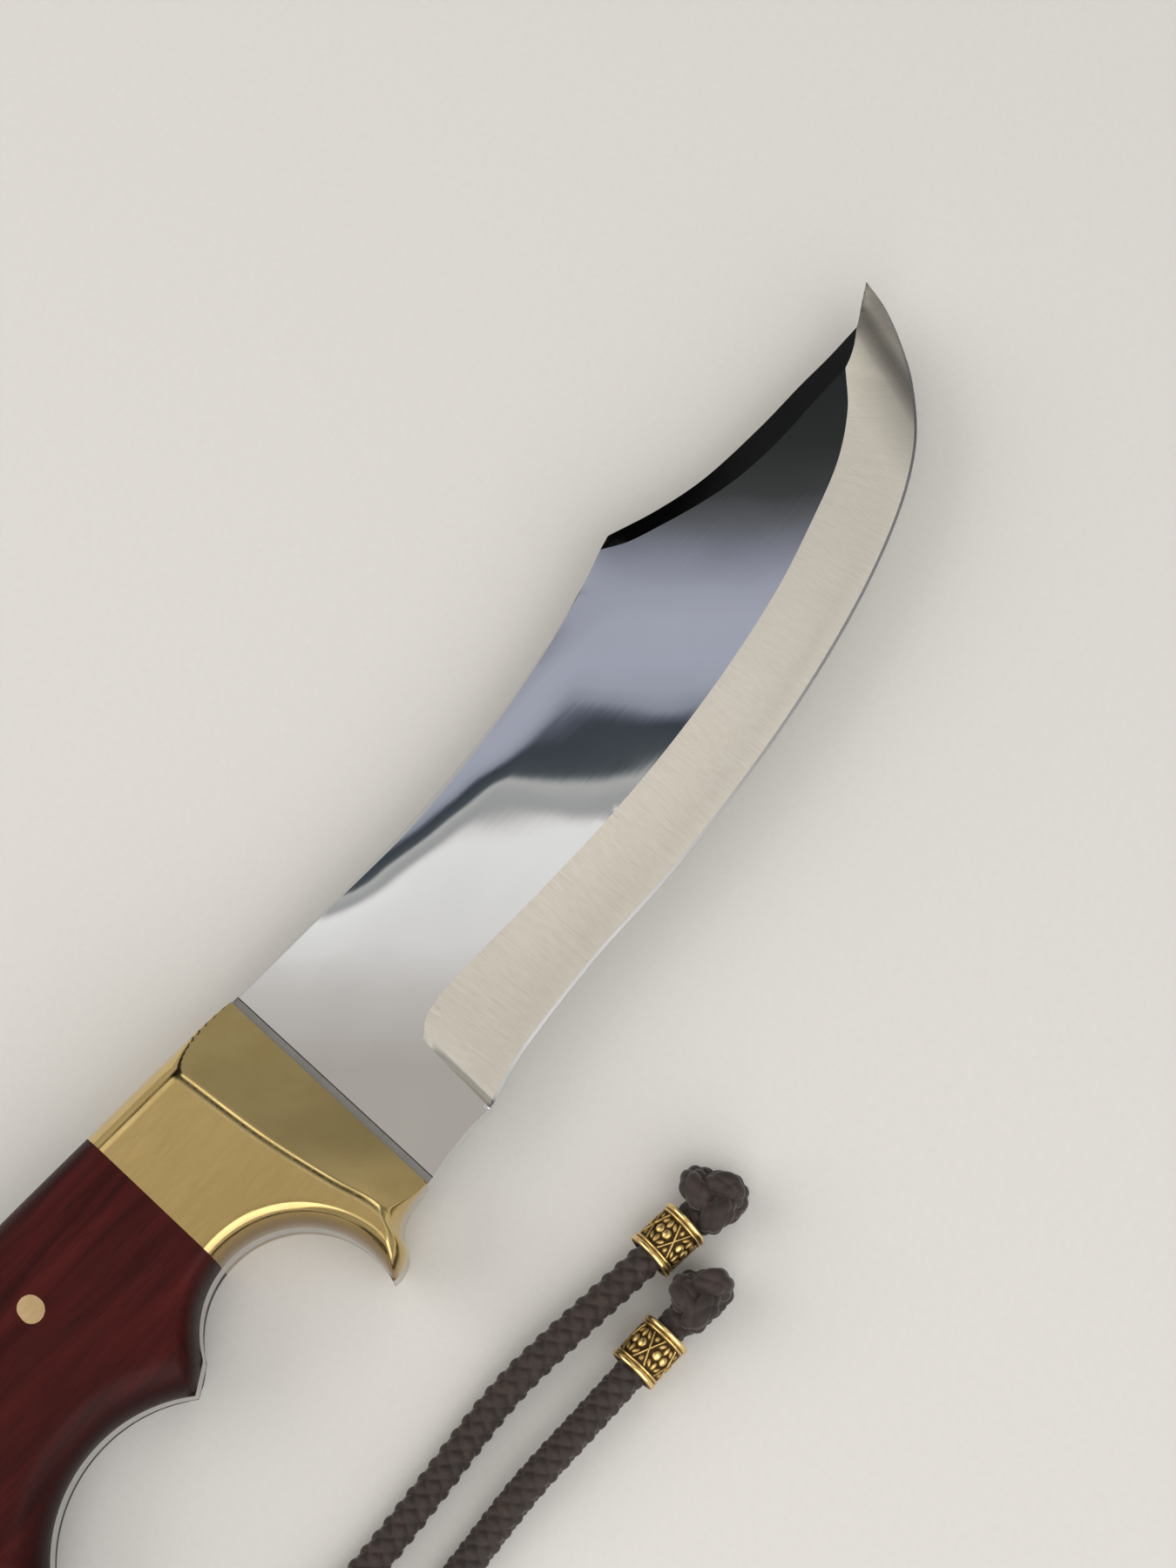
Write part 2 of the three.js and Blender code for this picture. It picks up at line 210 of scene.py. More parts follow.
# ---- Node material helpers ----
class Nodes:
    """A node tree under construction: short calls that add a node and return its output."""

    def __init__(self, owner, shader):
        owner.use_nodes = True
        self.tree = owner.node_tree
        self.shader = self.tree.nodes[shader]

    def add(self, kind, **settings):
        node = self.tree.nodes.new(kind)
        for key, value in settings.items():
            setattr(node, key, value)
        return node

    def join(self, source, target):
        """Feeds a socket: with a number, a tuple, or the output of another node."""
        if isinstance(source, tuple) and target.type == "RGBA":
            source = (*source, 1.0)
        if isinstance(source, (int, float, tuple)):
            target.default_value = source
        else:
            self.tree.links.new(source, target)

    def feed(self, node, **values):
        for key, value in values.items():
            self.join(value, node.inputs[key.replace("_", " ")])

    def set(self, **values):
        self.feed(self.shader, **values)

    def coords(self, scale=(1, 1, 1)):
        mapping = self.add("ShaderNodeMapping")
        self.feed(mapping, Vector=self.add("ShaderNodeTexCoord").outputs["Object"], Scale=scale)
        return mapping.outputs["Vector"]

    def noise(self, vector, scale, detail=3.0, roughness=0.5, distortion=0.0):
        node = self.add("ShaderNodeTexNoise")
        self.feed(node, Vector=vector, Scale=scale, Detail=detail, Roughness=roughness, Distortion=distortion)
        return node.outputs["Fac"]

    def math(self, operation, a, b):
        node = self.add("ShaderNodeMath", operation=operation)
        self.join(a, node.inputs[0])
        self.join(b, node.inputs[1])
        return node.outputs[0]

    def dot(self, vector, direction):
        """How far a vector reaches in a direction."""
        node = self.add("ShaderNodeVectorMath", operation="DOT_PRODUCT")
        self.join(vector, node.inputs[0])
        self.join(direction, node.inputs[1])
        return node.outputs["Value"]

    def remap(self, value, low, high, to_low=0.0, to_high=1.0):
        node = self.add("ShaderNodeMapRange")
        self.feed(node, Value=value, From_Min=low, From_Max=high, To_Min=to_low, To_Max=to_high)
        return node.outputs["Result"]

    def ramp(self, value, stops):
        """Colours from stops of (place, colour), read at value."""
        node = self.add("ShaderNodeValToRGB")
        self.join(value, node.inputs["Fac"])
        elements = node.color_ramp.elements
        while len(elements) < len(stops):
            elements.new(0.5)
        for element, (place, colour) in zip(elements, stops):
            element.position = place
            element.color = (*colour, 1.0)
        return node.outputs["Color"]

    def mix(self, factor, a, b, kind="MIX"):
        node = self.add("ShaderNodeMix", data_type="RGBA", blend_type=kind)
        self.feed(node, Factor=factor, A=a, B=b)
        return node.outputs["Result"]

    def attribute(self, name):
        return self.add("ShaderNodeAttribute", attribute_name=name).outputs["Fac"]

    def bumps(self, *layers):
        """Layers of (height, strength, distance), stacked into the shader's normal."""
        before = None
        for height, strength, distance in layers:
            node = self.add("ShaderNodeBump")
            self.feed(node, Height=height, Strength=strength, Distance=distance)
            if before is not None:
                self.join(before, node.inputs["Normal"])
            before = node.outputs["Normal"]
        self.join(before, self.shader.inputs["Normal"])


class Material(Nodes):
    def __init__(self, name):
        self.material = bpy.data.materials.new(name)
        super().__init__(self.material, "Principled BSDF")


def grey(level):
    return (level, level, level)


def paint(obj, material):
    obj.data.materials.clear()
    obj.data.materials.append(material)


# ---- Camera, floor and light ----
VIEW_TURN = math.radians(47.54)  # from the picture's right-hand direction to the knife's axis
VIEW_TILT = math.radians(18.0)  # of the camera away from straight down
VIEW_DISTANCE = 0.450
VIEW_MIDDLE = (61.5, 4.6, 0.8)  # the point of the knife that the camera looks at

right = Vector((math.cos(VIEW_TURN), -math.sin(VIEW_TURN), 0))
ahead = Vector((math.sin(VIEW_TURN), math.cos(VIEW_TURN), 0))  # the floor's direction up the picture


def make_camera():
    data = bpy.data.cameras.new("camera")
    data.lens = 67.5
    data.sensor_width = 36.0
    data.clip_start = 0.01
    data.clip_end = 20.0
    camera = bpy.data.objects.new("camera", data)
    bpy.context.scene.collection.objects.link(camera)
    looking = ahead * math.sin(VIEW_TILT) - Vector((0, 0, 1)) * math.cos(VIEW_TILT)
    upward = right.cross(looking)
    turn = Matrix((right, upward, -looking)).transposed().to_4x4()
    camera.matrix_world = Matrix.Translation(Vector(to_row(VIEW_MIDDLE)) - looking * VIEW_DISTANCE) @ turn
    bpy.context.scene.camera = camera


def make_floor():
    size = 3.0
    corners = [(-size, -size, 0), (size, -size, 0), (size, size, 0), (-size, size, 0)]
    floor = make_object("floor", corners, [(0, 1, 2, 3)], smooth=False)
    n = Material("floor_pale")
    grain = n.noise(n.coords(), 900.0, 2.0)
    n.set(Base_Color=n.mix(grain, (0.60, 0.59, 0.575), (0.64, 0.63, 0.61)), Roughness=0.75)
    paint(floor, n.material)


BLACK, WHITE = grey(0), grey(1)
PANELS = (13, 27)  # degrees between which the ceiling is painted finely, for the polished flat's reflection
PANELS_START, PANELS_END = (0.50, 0.465, 0.42), (0.023, 0.024, 0.025)
HORIZON = (0.46, 0.455, 0.445)
HORIZON_BLEND = (0.10, 0.32)  # upward part of the direction between which the horizon gives way to the room
SLIT_LIGHT = (1.6, 1.55, 1.4)


def make_world():
    """A soft grey room. Overhead are a softbox, a dark gap, a dimmer panel and a dark ceiling."""
    world = bpy.data.worlds.new("studio")
    bpy.context.scene.world = world
    n = Nodes(world, "Background")
    where = n.add("ShaderNodeTexCoord").outputs["Generated"]
    height = n.dot(where, (0, 0, 1))

    def angle_towards(direction):
        """Degrees from overhead towards a level direction."""
        return n.math("MULTIPLY", n.math("ARCTAN2", n.dot(where, tuple(direction)), height), 180 / math.pi)

    def by_angle(value, low, high, stops):
        """Colours by angle, from stops of (degrees, colour) between the angles low and high."""
        share = n.math("DIVIDE", n.math("SUBTRACT", value, low), high - low)
        return n.ramp(share, [((angle - low) / (high - low), colour) for angle, colour in stops])

    along, across = angle_towards(ahead), angle_towards(right)

    def over(*stops):
        return by_angle(along, -90, 90, stops)

    def sideways(*stops):
        return by_angle(across, -90, 90, stops)

    def multiply(a, b):
        return n.mix(1.0, a, b, "MULTIPLY")

    ceiling = over(
        (-60, (0.34, 0.33, 0.32)), (-10, (0.40, 0.38, 0.35)), (6, (0.50, 0.46, 0.41)),
        (PANELS[0], PANELS_START), (PANELS[1], PANELS_END), (62, grey(0.018)), (80, grey(0.25)),
    )
    panels = by_angle(along, *PANELS, [
        (PANELS[0], PANELS_START), (14.4, (0.64, 0.61, 0.58)), (15.4, (0.82, 0.81, 0.79)),
        (17.3, (0.92, 0.92, 0.91)), (17.55, (0.82, 0.80, 0.78)), (17.8, (0.50, 0.50, 0.49)),
        (17.95, (0.40, 0.405, 0.405)), (18.3, (0.42, 0.425, 0.425)), (18.7, (0.52, 0.525, 0.50)),
        (18.78, (0.36, 0.375, 0.38)), (18.87, (0.12, 0.14, 0.15)), (18.98, (0.075, 0.085, 0.095)),
        (19.2, (0.062, 0.075, 0.09)), (19.55, (0.05, 0.06, 0.072)), (19.72, (0.13, 0.14, 0.18)),
        (19.9, (0.30, 0.32, 0.39)), (20.3, (0.40, 0.42, 0.50)), (20.9, (0.44, 0.46, 0.55)),
        (21.7, (0.45, 0.465, 0.55)), (22.3, (0.395, 0.41, 0.49)), (22.9, (0.275, 0.285, 0.35)),
        (23.6, (0.12, 0.126, 0.138)), (24.1, (0.058, 0.060, 0.060)), (25.1, (0.035, 0.036, 0.036)),
        (PANELS[1], PANELS_END),
    ])
    past_start = n.math("GREATER_THAN", along, float(PANELS[0]))
    near = n.math("MULTIPLY", past_start, n.math("LESS_THAN", along, float(PANELS[1])))
    window = sideways((-20, BLACK), (-12, WHITE), (14, WHITE), (25, BLACK))
    left_wall = sideways((-90, (0.50, 0.48, 0.45)), (-47, (0.55, 0.53, 0.49)), (-34, BLACK))
    warm, pale, dim = (0.90, 0.86, 0.80), (0.60, 0.59, 0.57), grey(0.42)
    left_low = multiply(
        sideways((-38, BLACK), (-30, warm), (-17, warm), (-11, BLACK)), over((27, WHITE), (33, BLACK)))
    right_panel = multiply(
        sideways((10, BLACK), (18, pale), (36, pale), (54, dim), (90, dim)),
        over((20, WHITE), (29, grey(0.3)), (42, (0.64, 0.66, 0.68))))
    # A bright slit that the rounded ridge of the bolsters catches.
    slit = multiply(
        by_angle(across, 0, 40, [(8, BLACK), (11, SLIT_LIGHT), (24, SLIT_LIGHT), (29, BLACK)]),
        by_angle(along, 20, 60, [(27, BLACK), (29, WHITE), (42, WHITE), (46, BLACK)]))
    total = multiply(n.mix(near, ceiling, panels), window)
    for part in (left_wall, left_low, right_panel, slit):
        total = n.mix(1.0, total, part, "ADD")
    low, high = HORIZON_BLEND
    total = multiply(total, n.ramp(height, [(low, BLACK), (high, WHITE)]))
    total = n.mix(1.0, total, n.ramp(height, [(low, HORIZON), (high, BLACK)]), "ADD")
    n.set(Color=total, Strength=1.0)


LAMP_AIM = (30, 0, 0)  # the point of the knife that the lamps face


def make_lamp(name, spot, size, power, colour):
    """A square softbox; spot is in metres to the right, up the picture and up from the point it faces."""
    data = bpy.data.lights.new(name, "AREA")
    data.shape = "SQUARE"
    data.size = size
    data.energy = power
    data.color = colour
    lamp = bpy.data.objects.new(name, data)
    bpy.context.scene.collection.objects.link(lamp)
    target = Vector(to_row(LAMP_AIM))
    place = target + right * spot[0] + ahead * spot[1] + Vector((0, 0, spot[2]))
    lamp.location = place
    lamp.rotation_mode = "QUATERNION"
    lamp.rotation_quaternion = (target - place).to_track_quat("-Z", "Y")


# ---- The handle's shape: an outline at the tang, and edges that are rounded over towards both faces ----
RAMP_FADE_IN, RAMP_FADE_OUT = (-13, -2), (-1, 6)  # along the ramp: from its start, and from its end
FAR_INSIDE = 60
EDGE_BLEND = 7  # power that blends the roundings where two edges meet
QUILLON_INNER = -13.64  # x where the first groove's wall comes out under the quillon
GROOVE_ROOF = -16.0  # x from which the first groove's wall is followed round its circle


def along_x(points, x):
    """The smooth line through the points, read at x."""
    fine = spline(points, 16)
    order = np.argsort(fine[:, 0])
    return np.interp(x, fine[order, 0], fine[order, 1])


def spine_line(x):
    return along_x(SPINE_OF_HANDLE, x)


def peak_line(x):
    return along_x(PEAK_LINE, x)


def ramp_distance(x, y):
    """Millimetres inside the straight ramp behind the first groove, fading to far inside past its ends."""
    ax, ay = RAMP_FROM
    bx, by = RAMP_TO
    length = math.hypot(bx - ax, by - ay)
    dx, dy = (bx - ax) / length, (by - ay) / length
    inward = (x - ax) * dy - (y - ay) * dx
    along = (x - ax) * dx + (y - ay) * dy
    past_end = smooth_step(along, length + RAMP_FADE_OUT[0], length + RAMP_FADE_OUT[1])
    return inward + FAR_INSIDE * (1 - smooth_step(along, *RAMP_FADE_IN) + past_end)


def groove_closeness(x, y):
    """For each finger groove, 1 on its wall at the tang, and 0 where its rounding ends."""
    return [1 - (np.hypot(x - cx, y - cy) - radius) / rounding for cx, cy, radius, rounding in GROOVES]


def edge_closeness(x, y):
    """0 on the flat of the handle's face, rising to 1 where the rounded edge meets the upright flank."""
    parts = [
        1 - (spine_line(x) - y) / SPINE_ROUNDING,
        1 - (y - peak_line(x)) / BELLY_ROUNDING,
        *groove_closeness(x, y),
        1 - ramp_distance(x, y) / RAMP_ROUNDING,
    ]
    total = sum(np.clip(part, 0, 1.2) ** EDGE_BLEND for part in parts)
    return np.clip(total ** (1 / EDGE_BLEND), 0, 1)


def rounded_height(closeness):
    """Height of the handle's face over the middle plane, from its closeness to an edge."""
    return FLAT_FLANK + (HANDLE_HALF - FLAT_FLANK) * np.sqrt(np.maximum(1 - closeness**2, 0))


def lower_line(x):
    """The handle's lower outline behind the first groove's deepest point, seen from above."""
    low = peak_line(x)
    for cx, cy, radius, _ in GROOVES:
        reach = np.maximum(radius**2 - (x - cx) ** 2, 0)
        low = np.where(np.abs(x - cx) < radius, np.maximum(low, cy + np.sqrt(reach)), low)
    ax, ay = RAMP_FROM
    bx, by = RAMP_TO
    on_ramp = ay + (x - ax) * (by - ay) / (bx - ax)
    return np.where((x < ax) & (x > bx), np.maximum(low, on_ramp), low)


def edge_spacing(steps):
    """Shares of a rounding's width that put even steps on its quarter circle, outer edge first."""
    return 1 - np.cos(np.linspace(0, math.pi / 2, steps))


def groove_wall(start_x, steps):
    """The first groove's wall, from start_x under its roof to the quillon's point."""
    cx, cy, radius, _ = GROOVES[0]
    start = math.acos((start_x - cx) / radius)
    end = -math.acos((QUILLON_INNER - cx) / radius)
    return arc(cx, cy, radius, np.linspace(start, end, steps))


def quillon_front(steps):
    """The bolster's lower outline from the quillon's point to the guard."""
    x = np.linspace(QUILLON_INNER, 0, steps)
    return evenly(np.stack([x, peak_line(x)], axis=1), 0.35)

# ---- The steel: blade and full tang in one closed mesh, whose edges run along every line of the grind ----
SPINE = [(-2, 20.4), (24, 20.2), (40, 20.4), (57, 21.7), (72, 24.1), (84, 26.8), (94, 30.1)]
CLIP = [(94, 30.1), (102.6, 27.3), (112, 25.4), (124, 24.8), (134, 24.9), (141, 24.8), (148, 25)]
NOSE = [(148, 25), (149.6, 25.85), (151.6, 27.1), (BLADE_LENGTH, 29.3)]
EDGE = [(14.4, -18.9), (18.4, -17.7), (26, -16.2), (42, -14.7), (58, -14.3), (76, -12.9), (95, -10.2),
        (113, -6.2), (128, -1.2), (138.8, 4.5), (146.3, 11.5), (150.8, 17.9), (153.9, 24),
        (BLADE_LENGTH, 29.3)]
GRIND = [(15.4, -4.4), (19, -2.2), (27, -1.5), (42, -1.7), (58, -1.6), (74, -0.6), (90, 1.4), (105, 4.3),
         (117, 7.8), (127.5, 11.5), (135.5, 16.2), (141, 21.4)]
SWEDGE_START = 90.7  # x on the spine from which the swedge's line sets out
SWEDGE = [(94.9, 26.9), (99.7, 25.2), (106.7, 23.1), (113, 21.7), (119.4, 21), (126, 20.9), (133, 21.2),
          (141, 21.4)]
CROSSING = [(141, 21.4), (143, 22.1), (145.1, 23.1), (146.7, 24.1), (148, 25)]  # swedge against bevel
PLUNGE = [(15.4, -4.4), (14.9, -9.0), (14.7, -14.0), (14.4, -18.9)]
RICASSO = [(14.4, -18.9), (10, -18.7), (5, -19.1), (1.5, -19.7), (0, -19.9)]
EDGE_HALF = 0.08  # half the thickness of the cutting edge
MICRO_BEVEL = 0.45  # width of the edge's own bevel
MICRO_HALF = 0.26  # half the thickness where that bevel starts
CLIP_HALF = 0.5
TIP_HALF = 0.25
THINNEST_HALF = 0.04
PLUNGE_WIDTH = 1.4
PLUNGE_CREASES = (0.15, 0.35, 0.6, 0.95, PLUNGE_WIDTH)  # lines along the plunge that carry its curve
HIDDEN_X = -1.0  # under the bolsters, where the blade's polish ends
SEAM_GROOVE = (1.18, 1.27, 1.36)  # x across the fine groove between the blade and the strip at the guard
GROOVE_DEPTH = 0.12
SPINE_CHAMFER = 0.35  # width of the spine's chamfer, before it swells
CHAMFER_SWELL, SWELL_X, SWELL_LENGTH = 0.45, 40, 16  # how much wider it grows, where, and over what length
CHAMFER_FADE = (70, 90)  # x over which it runs out
CHAMFER_END = 0.05  # width at which it is left to end
CHAMFER_SLOPE = 0.55  # how far it falls for each millimetre of its width
HOLE_BEVEL = 0.4
SPINE_ROLL, SPINE_ROLL_WIDTH = 0.13, 7  # how far the flat rolls off to the spine, and over what width
SPINE_ROLL_RISE, SPINE_ROLL_FALL = (8, 30), (70, 92)  # x over which that roll sets in and fades
GRIND_ROLL, GRIND_ROLL_WIDTH, GRIND_ROLL_RISE = 0.006, 5, (20, 40)  # the same at the grind line
WAVE, WAVE_RISE, WAVE_FALL = 0.011, (46, 56), (66, 80)  # a slight wave in the flat where the spine lifts
WAVE_ALONG, WAVE_ACROSS = 5.3, 9  # how slowly the wave turns with x and with y
HOLLOW = 0.10  # depth of the satin bevel's hollow
HOLLOW_START, HOLLOW_FADE = (0, 4), (105, 150)  # distance from the edge, and x
TIP_THINNING, THINNING_FROM, THINNING_LENGTH = 0.16, 138, 17  # towards the tip, the bevel gets thinner
ON_LINE = 1e-3  # a place nearer than this to a line lies on it

ZONES = {name: index for index, name in enumerate((
    "flat", "satin", "swedge", "micro", "chamfer", "tang", "tang_wall", "blade_wall", "collar", "groove",
))}


def half_steel(x):
    return STEEL / 2 - (STEEL - TIP_STEEL) / 2 * np.clip(x / BLADE_LENGTH, 0, 1)


class Line:
    """A polyline that can be asked how far away it is, and how far along it the nearest point lies."""

    def __init__(self, points):
        self.points = np.asarray(points, dtype=float)
        self.reach = distance_along(self.points)

    def nearest(self, places):
        """Distance to the line, and length along it, for each place."""
        best = np.full(len(places), 1e9)
        along = np.zeros(len(places))
        for i in range(len(self.points) - 1):
            a, b = self.points[i], self.points[i + 1]
            span = b - a
            t = np.clip(((places - a) @ span) / (span @ span), 0, 1)
            gap = np.linalg.norm(places - a - t[:, None] * span, axis=1)
            closer = gap < best
            best = np.where(closer, gap, best)
            along = np.where(closer, self.reach[i] + t * (self.reach[i + 1] - self.reach[i]), along)
        return best, along


def inside(polygon, places):
    """Which places lie inside a closed polygon."""
    x, y = places[:, 0], places[:, 1]
    result = np.zeros(len(places), dtype=bool)
    for a, b in zip(polygon, np.roll(polygon, -1, axis=0)):
        crosses = (a[1] > y) != (b[1] > y)
        rise = b[1] - a[1] if abs(b[1] - a[1]) > 1e-12 else 1e-12
        result ^= crosses & (x < a[0] + (y - a[1]) * (b[0] - a[0]) / rise)
    return result


def offset_line(points, gap):
    """The polyline shifted sideways to its left by gap, one value or one for each point."""
    step = np.gradient(points, axis=0)
    step /= np.linalg.norm(step, axis=1)[:, None]
    left = np.stack([-step[:, 1], step[:, 0]], axis=1)
    return points + left * np.broadcast_to(np.asarray(gap, dtype=float).reshape(-1, 1), (len(points), 1))


def fill_plan(outline, creases, inner, holes):
    """Triangles over the plan inside the outline and outside the holes, with edges along every crease."""
    points, edges = [], []

    def add(line, closed):
        first = len(points)
        points.extend(Vector(p) for p in line)
        edges.extend((first + i, first + i + 1) for i in range(len(line) - 1))
        if closed:
            edges.append((first + len(line) - 1, first))
        return list(range(first, first + len(line)))

    loop = add(outline, True)
    for hole in holes:
        add(hole, True)
    for crease in creases:
        add(crease, False)
    points.extend(Vector(p) for p in inner)
    flat, _, triangles, *_ = delaunay_2d_cdt(points, edges, [loop], 1, 1e-4)
    flat = np.array([(p.x, p.y) for p in flat])
    triangles = np.array([t for t in triangles if len(t) == 3])
    middle = flat[triangles].mean(axis=1)
    keep = np.ones(len(triangles), dtype=bool)
    for hole in holes:
        keep &= ~inside(np.asarray(hole), middle)
    a, b, c = (flat[triangles[:, k]] for k in range(3))
    area = np.abs((b[:, 0] - a[:, 0]) * (c[:, 1] - a[:, 1]) - (b[:, 1] - a[:, 1]) * (c[:, 0] - a[:, 0]))
    keep &= area > 1e-7
    return flat, triangles[keep]


def steel_lines():
    """Every line of the blade as a fine polyline, guard to tip; the plunge and the ricasso run downwards."""
    spine = evenly(spline(SPINE, 12), 1.0)
    on_spine = spine[np.argmin(np.abs(spine[:, 0] - SWEDGE_START))]
    rest = [  # points, steps of the curve, spacing
        (CLIP, 12, 0.8), (NOSE, 8, 0.4), (EDGE, 12, 0.8), (GRIND, 12, 0.8), ([on_spine, *SWEDGE], 12, 0.8),
        (CROSSING, 8, 0.4), (PLUNGE, 8, 0.5), (RICASSO, 8, 0.6),
    ]
    return [spine, *(evenly(spline(points, steps), spacing) for points, steps, spacing in rest)]


def tang_outline():
    """The tang's outline in three parts: the handle's lower line, the round tab, and the spine."""
    tab_x, tab_y, tab_radius = TAB
    x_back = np.arange(SCALE_END_X, GROOVE_ROOF, 0.5)
    back = np.stack([x_back, lower_line(x_back)], axis=1)
    low = np.vstack([back, groove_wall(GROOVE_ROOF, 50)[1:-1], quillon_front(60)[:-1]])
    top_x = np.arange(0.0, SCALE_END_X, -1.0)
    top = np.stack([top_x, spine_line(top_x)], axis=1)
    side = SCALE_END_X - tab_x
    opening = math.atan2(math.sqrt(tab_radius**2 - side**2), side)
    tab = arc(tab_x, tab_y, tab_radius, np.linspace(opening, 2 * math.pi - opening, 60))
    return low, tab, top


def loose_points(outline, creases):
    """Points inside the outline and off the creases, closer together on the blade than on the tang."""
    blade_x, blade_y = np.meshgrid(np.arange(1.0, BLADE_LENGTH, 1.0), np.arange(-26, 31, 1.0))
    blade_x = blade_x + 0.5 * (np.round(blade_y) % 2)
    tang_x, tang_y = np.meshgrid(np.arange(-118, 0, 5.0), np.arange(-24, 20, 5.0))
    blade = np.stack([blade_x.ravel(), blade_y.ravel()], axis=1)
    inner = np.vstack([blade, np.stack([tang_x.ravel(), tang_y.ravel()], axis=1)])
    inner = inner[inside(outline, inner)]
    room = Line(np.vstack([outline, outline[:1]])).nearest(inner)[0]
    for crease in creases:
        room = np.minimum(room, Line(crease).nearest(inner)[0])
    return inner[room > 0.35]


def steel_faces(plan, triangles):
    """Faces of the body with the plan on both sides, and the pairs of points on its rim, in order."""
    count = len(plan)
    a, b, c = (plan[triangles[:, k]] for k in range(3))
    turning = (b[:, 0] - a[:, 0]) * (c[:, 1] - a[:, 1]) - (b[:, 1] - a[:, 1]) * (c[:, 0] - a[:, 0])
    triangles = np.where((turning > 0)[:, None], triangles, triangles[:, ::-1])
    sides = np.vstack([triangles[:, [0, 1]], triangles[:, [1, 2]], triangles[:, [2, 0]]])
    known = {(int(i), int(j)) for i, j in sides}
    rim = [(i, j) for i, j in known if (j, i) not in known]
    faces = [tuple(t) for t in triangles]
    faces += [tuple(int(i) + count for i in t[::-1]) for t in triangles]
    faces += [(j, i, i + count, j + count) for i, j in rim]
    return faces, rim


def make_steel():
    spine, clip, nose, edge, grind, swedge, crossing, plunge, ricasso = steel_lines()
    spine = spine[spine[:, 0] > 0.3]
    handle_low, tab, top = tang_outline()
    outline = np.vstack([
        spine, clip[1:-1], nose[:-1], edge[::-1], ricasso[1:], handle_low[::-1], tab[::-1][1:-1], top[::-1],
    ])
    hole_x, hole_y, hole_radius = HOLE
    around = np.linspace(0, 2 * math.pi, 64, endpoint=False)
    hole = arc(hole_x, hole_y, hole_radius, around)
    hole_rim = arc(hole_x, hole_y, hole_radius + HOLE_BEVEL, around)

    micro = offset_line(edge, MICRO_BEVEL * np.clip((edge[-1, 0] - edge[:, 0]) / 6 + 0.12, 0, 1))
    spine_x = spine[:, 0]
    wide = SPINE_CHAMFER + CHAMFER_SWELL * np.exp(-(((spine_x - SWELL_X) / SWELL_LENGTH) ** 2))
    wide = wide * (1 - smooth_step(spine_x, *CHAMFER_FADE))
    chamfer_top = spine[wide > CHAMFER_END]
    chamfer = np.vstack([offset_line(spine, -wide)[wide > CHAMFER_END][:-1], chamfer_top[-1:]])
    satin_top = np.vstack([grind, crossing[1:], nose[1:]])
    swedge_inner = np.vstack([swedge, crossing[1:]])
    corner_part = spine[np.argmin(np.linalg.norm(spine - swedge[0], axis=1)):]
    swedge_outer = np.vstack([corner_part, clip[1:]])
    grind_line, edge_line, top_line, spine_edge = Line(grind), Line(edge), Line(satin_top), Line(spine)
    inner_line, outer_line = Line(swedge_inner), Line(swedge_outer)

    satin_zone = np.vstack([satin_top, edge[::-1], plunge[::-1][1:-1]])
    swedge_zone = np.vstack([swedge_inner, swedge_outer[::-1][1:-1]])
    chamfer_zone = np.vstack([chamfer_top, chamfer[::-1]])
    micro_zone = np.vstack([micro, edge[::-1]])

    creases = [grind, swedge_inner, crossing, micro[:-1], chamfer, plunge[1:-1]]
    creases += [plunge[1:-1] + (gap, 0) for gap in PLUNGE_CREASES]
    for crease_x in (HIDDEN_X, *SEAM_GROOVE):
        creases.append(np.array([(crease_x, y) for y in np.linspace(-25, 25, 51)]))
    creases.append(np.vstack([hole_rim, hole_rim[:1]]))
    plan, triangles = fill_plan(outline, creases, loose_points(outline, creases), [hole])

    def zone_of(places):
        x = places[:, 0]
        zone = np.where(x < HIDDEN_X, ZONES["tang"], ZONES["flat"])
        zone = np.where(inside(chamfer_zone, places), ZONES["chamfer"], zone)
        zone = np.where((x > HIDDEN_X) & (x < SEAM_GROOVE[-1]), ZONES["groove"], zone)
        zone = np.where((x > HIDDEN_X) & (x < SEAM_GROOVE[0]), ZONES["collar"], zone)
        zone = np.where(inside(swedge_zone, places), ZONES["swedge"], zone)
        in_satin = inside(satin_zone, places)
        zone = np.where(in_satin, ZONES["satin"], zone)
        return np.where(in_satin & inside(micro_zone, places), ZONES["micro"], zone)

    crossing_length = distance_along(crossing)[-1]
    grind_length = grind_line.reach[-1]
    corner = float(half_steel(CROSSING[0][0]))

    def satin_top_height(along, x):
        """Half the thickness on the bevel's upper line: the grind, then the crossing, then the nose."""
        past = along - grind_length
        on_crossing = np.clip(past / crossing_length, 0, 1)
        nose_length = top_line.reach[-1] - grind_length - crossing_length
        on_nose = np.clip((past - crossing_length) / nose_length, 0, 1)
        h = np.where(past < 0, half_steel(x), corner + (CLIP_HALF - corner) * on_crossing)
        return np.where(past > crossing_length, CLIP_HALF + (TIP_HALF - CLIP_HALF) * on_nose, h)

    def height(places):
        x, y = places[:, 0], places[:, 1]
        full = half_steel(x)
        to_spine, _ = spine_edge.nearest(places)
        to_grind, _ = grind_line.nearest(places)
        to_edge, _ = edge_line.nearest(places)
        to_top, top_along = top_line.nearest(places)

        # The polished flat rolls off a little to its edges, as hand polishing leaves it.
        roll = SPINE_ROLL * np.clip(1 - to_spine / SPINE_ROLL_WIDTH, 0, 1) ** 2
        roll = roll * smooth_step(x, *SPINE_ROLL_RISE) * (1 - smooth_step(x, *SPINE_ROLL_FALL))
        grind_roll = GRIND_ROLL * np.clip(1 - to_grind / GRIND_ROLL_WIDTH, 0, 1) ** 2
        roll = roll + grind_roll * smooth_step(x, *GRIND_ROLL_RISE)
        wave = WAVE * np.sin(x / WAVE_ALONG + y / WAVE_ACROSS)
        wave = wave * smooth_step(x, *WAVE_RISE) * (1 - smooth_step(x, *WAVE_FALL))
        flat = full - (roll + wave) * (x > 0)

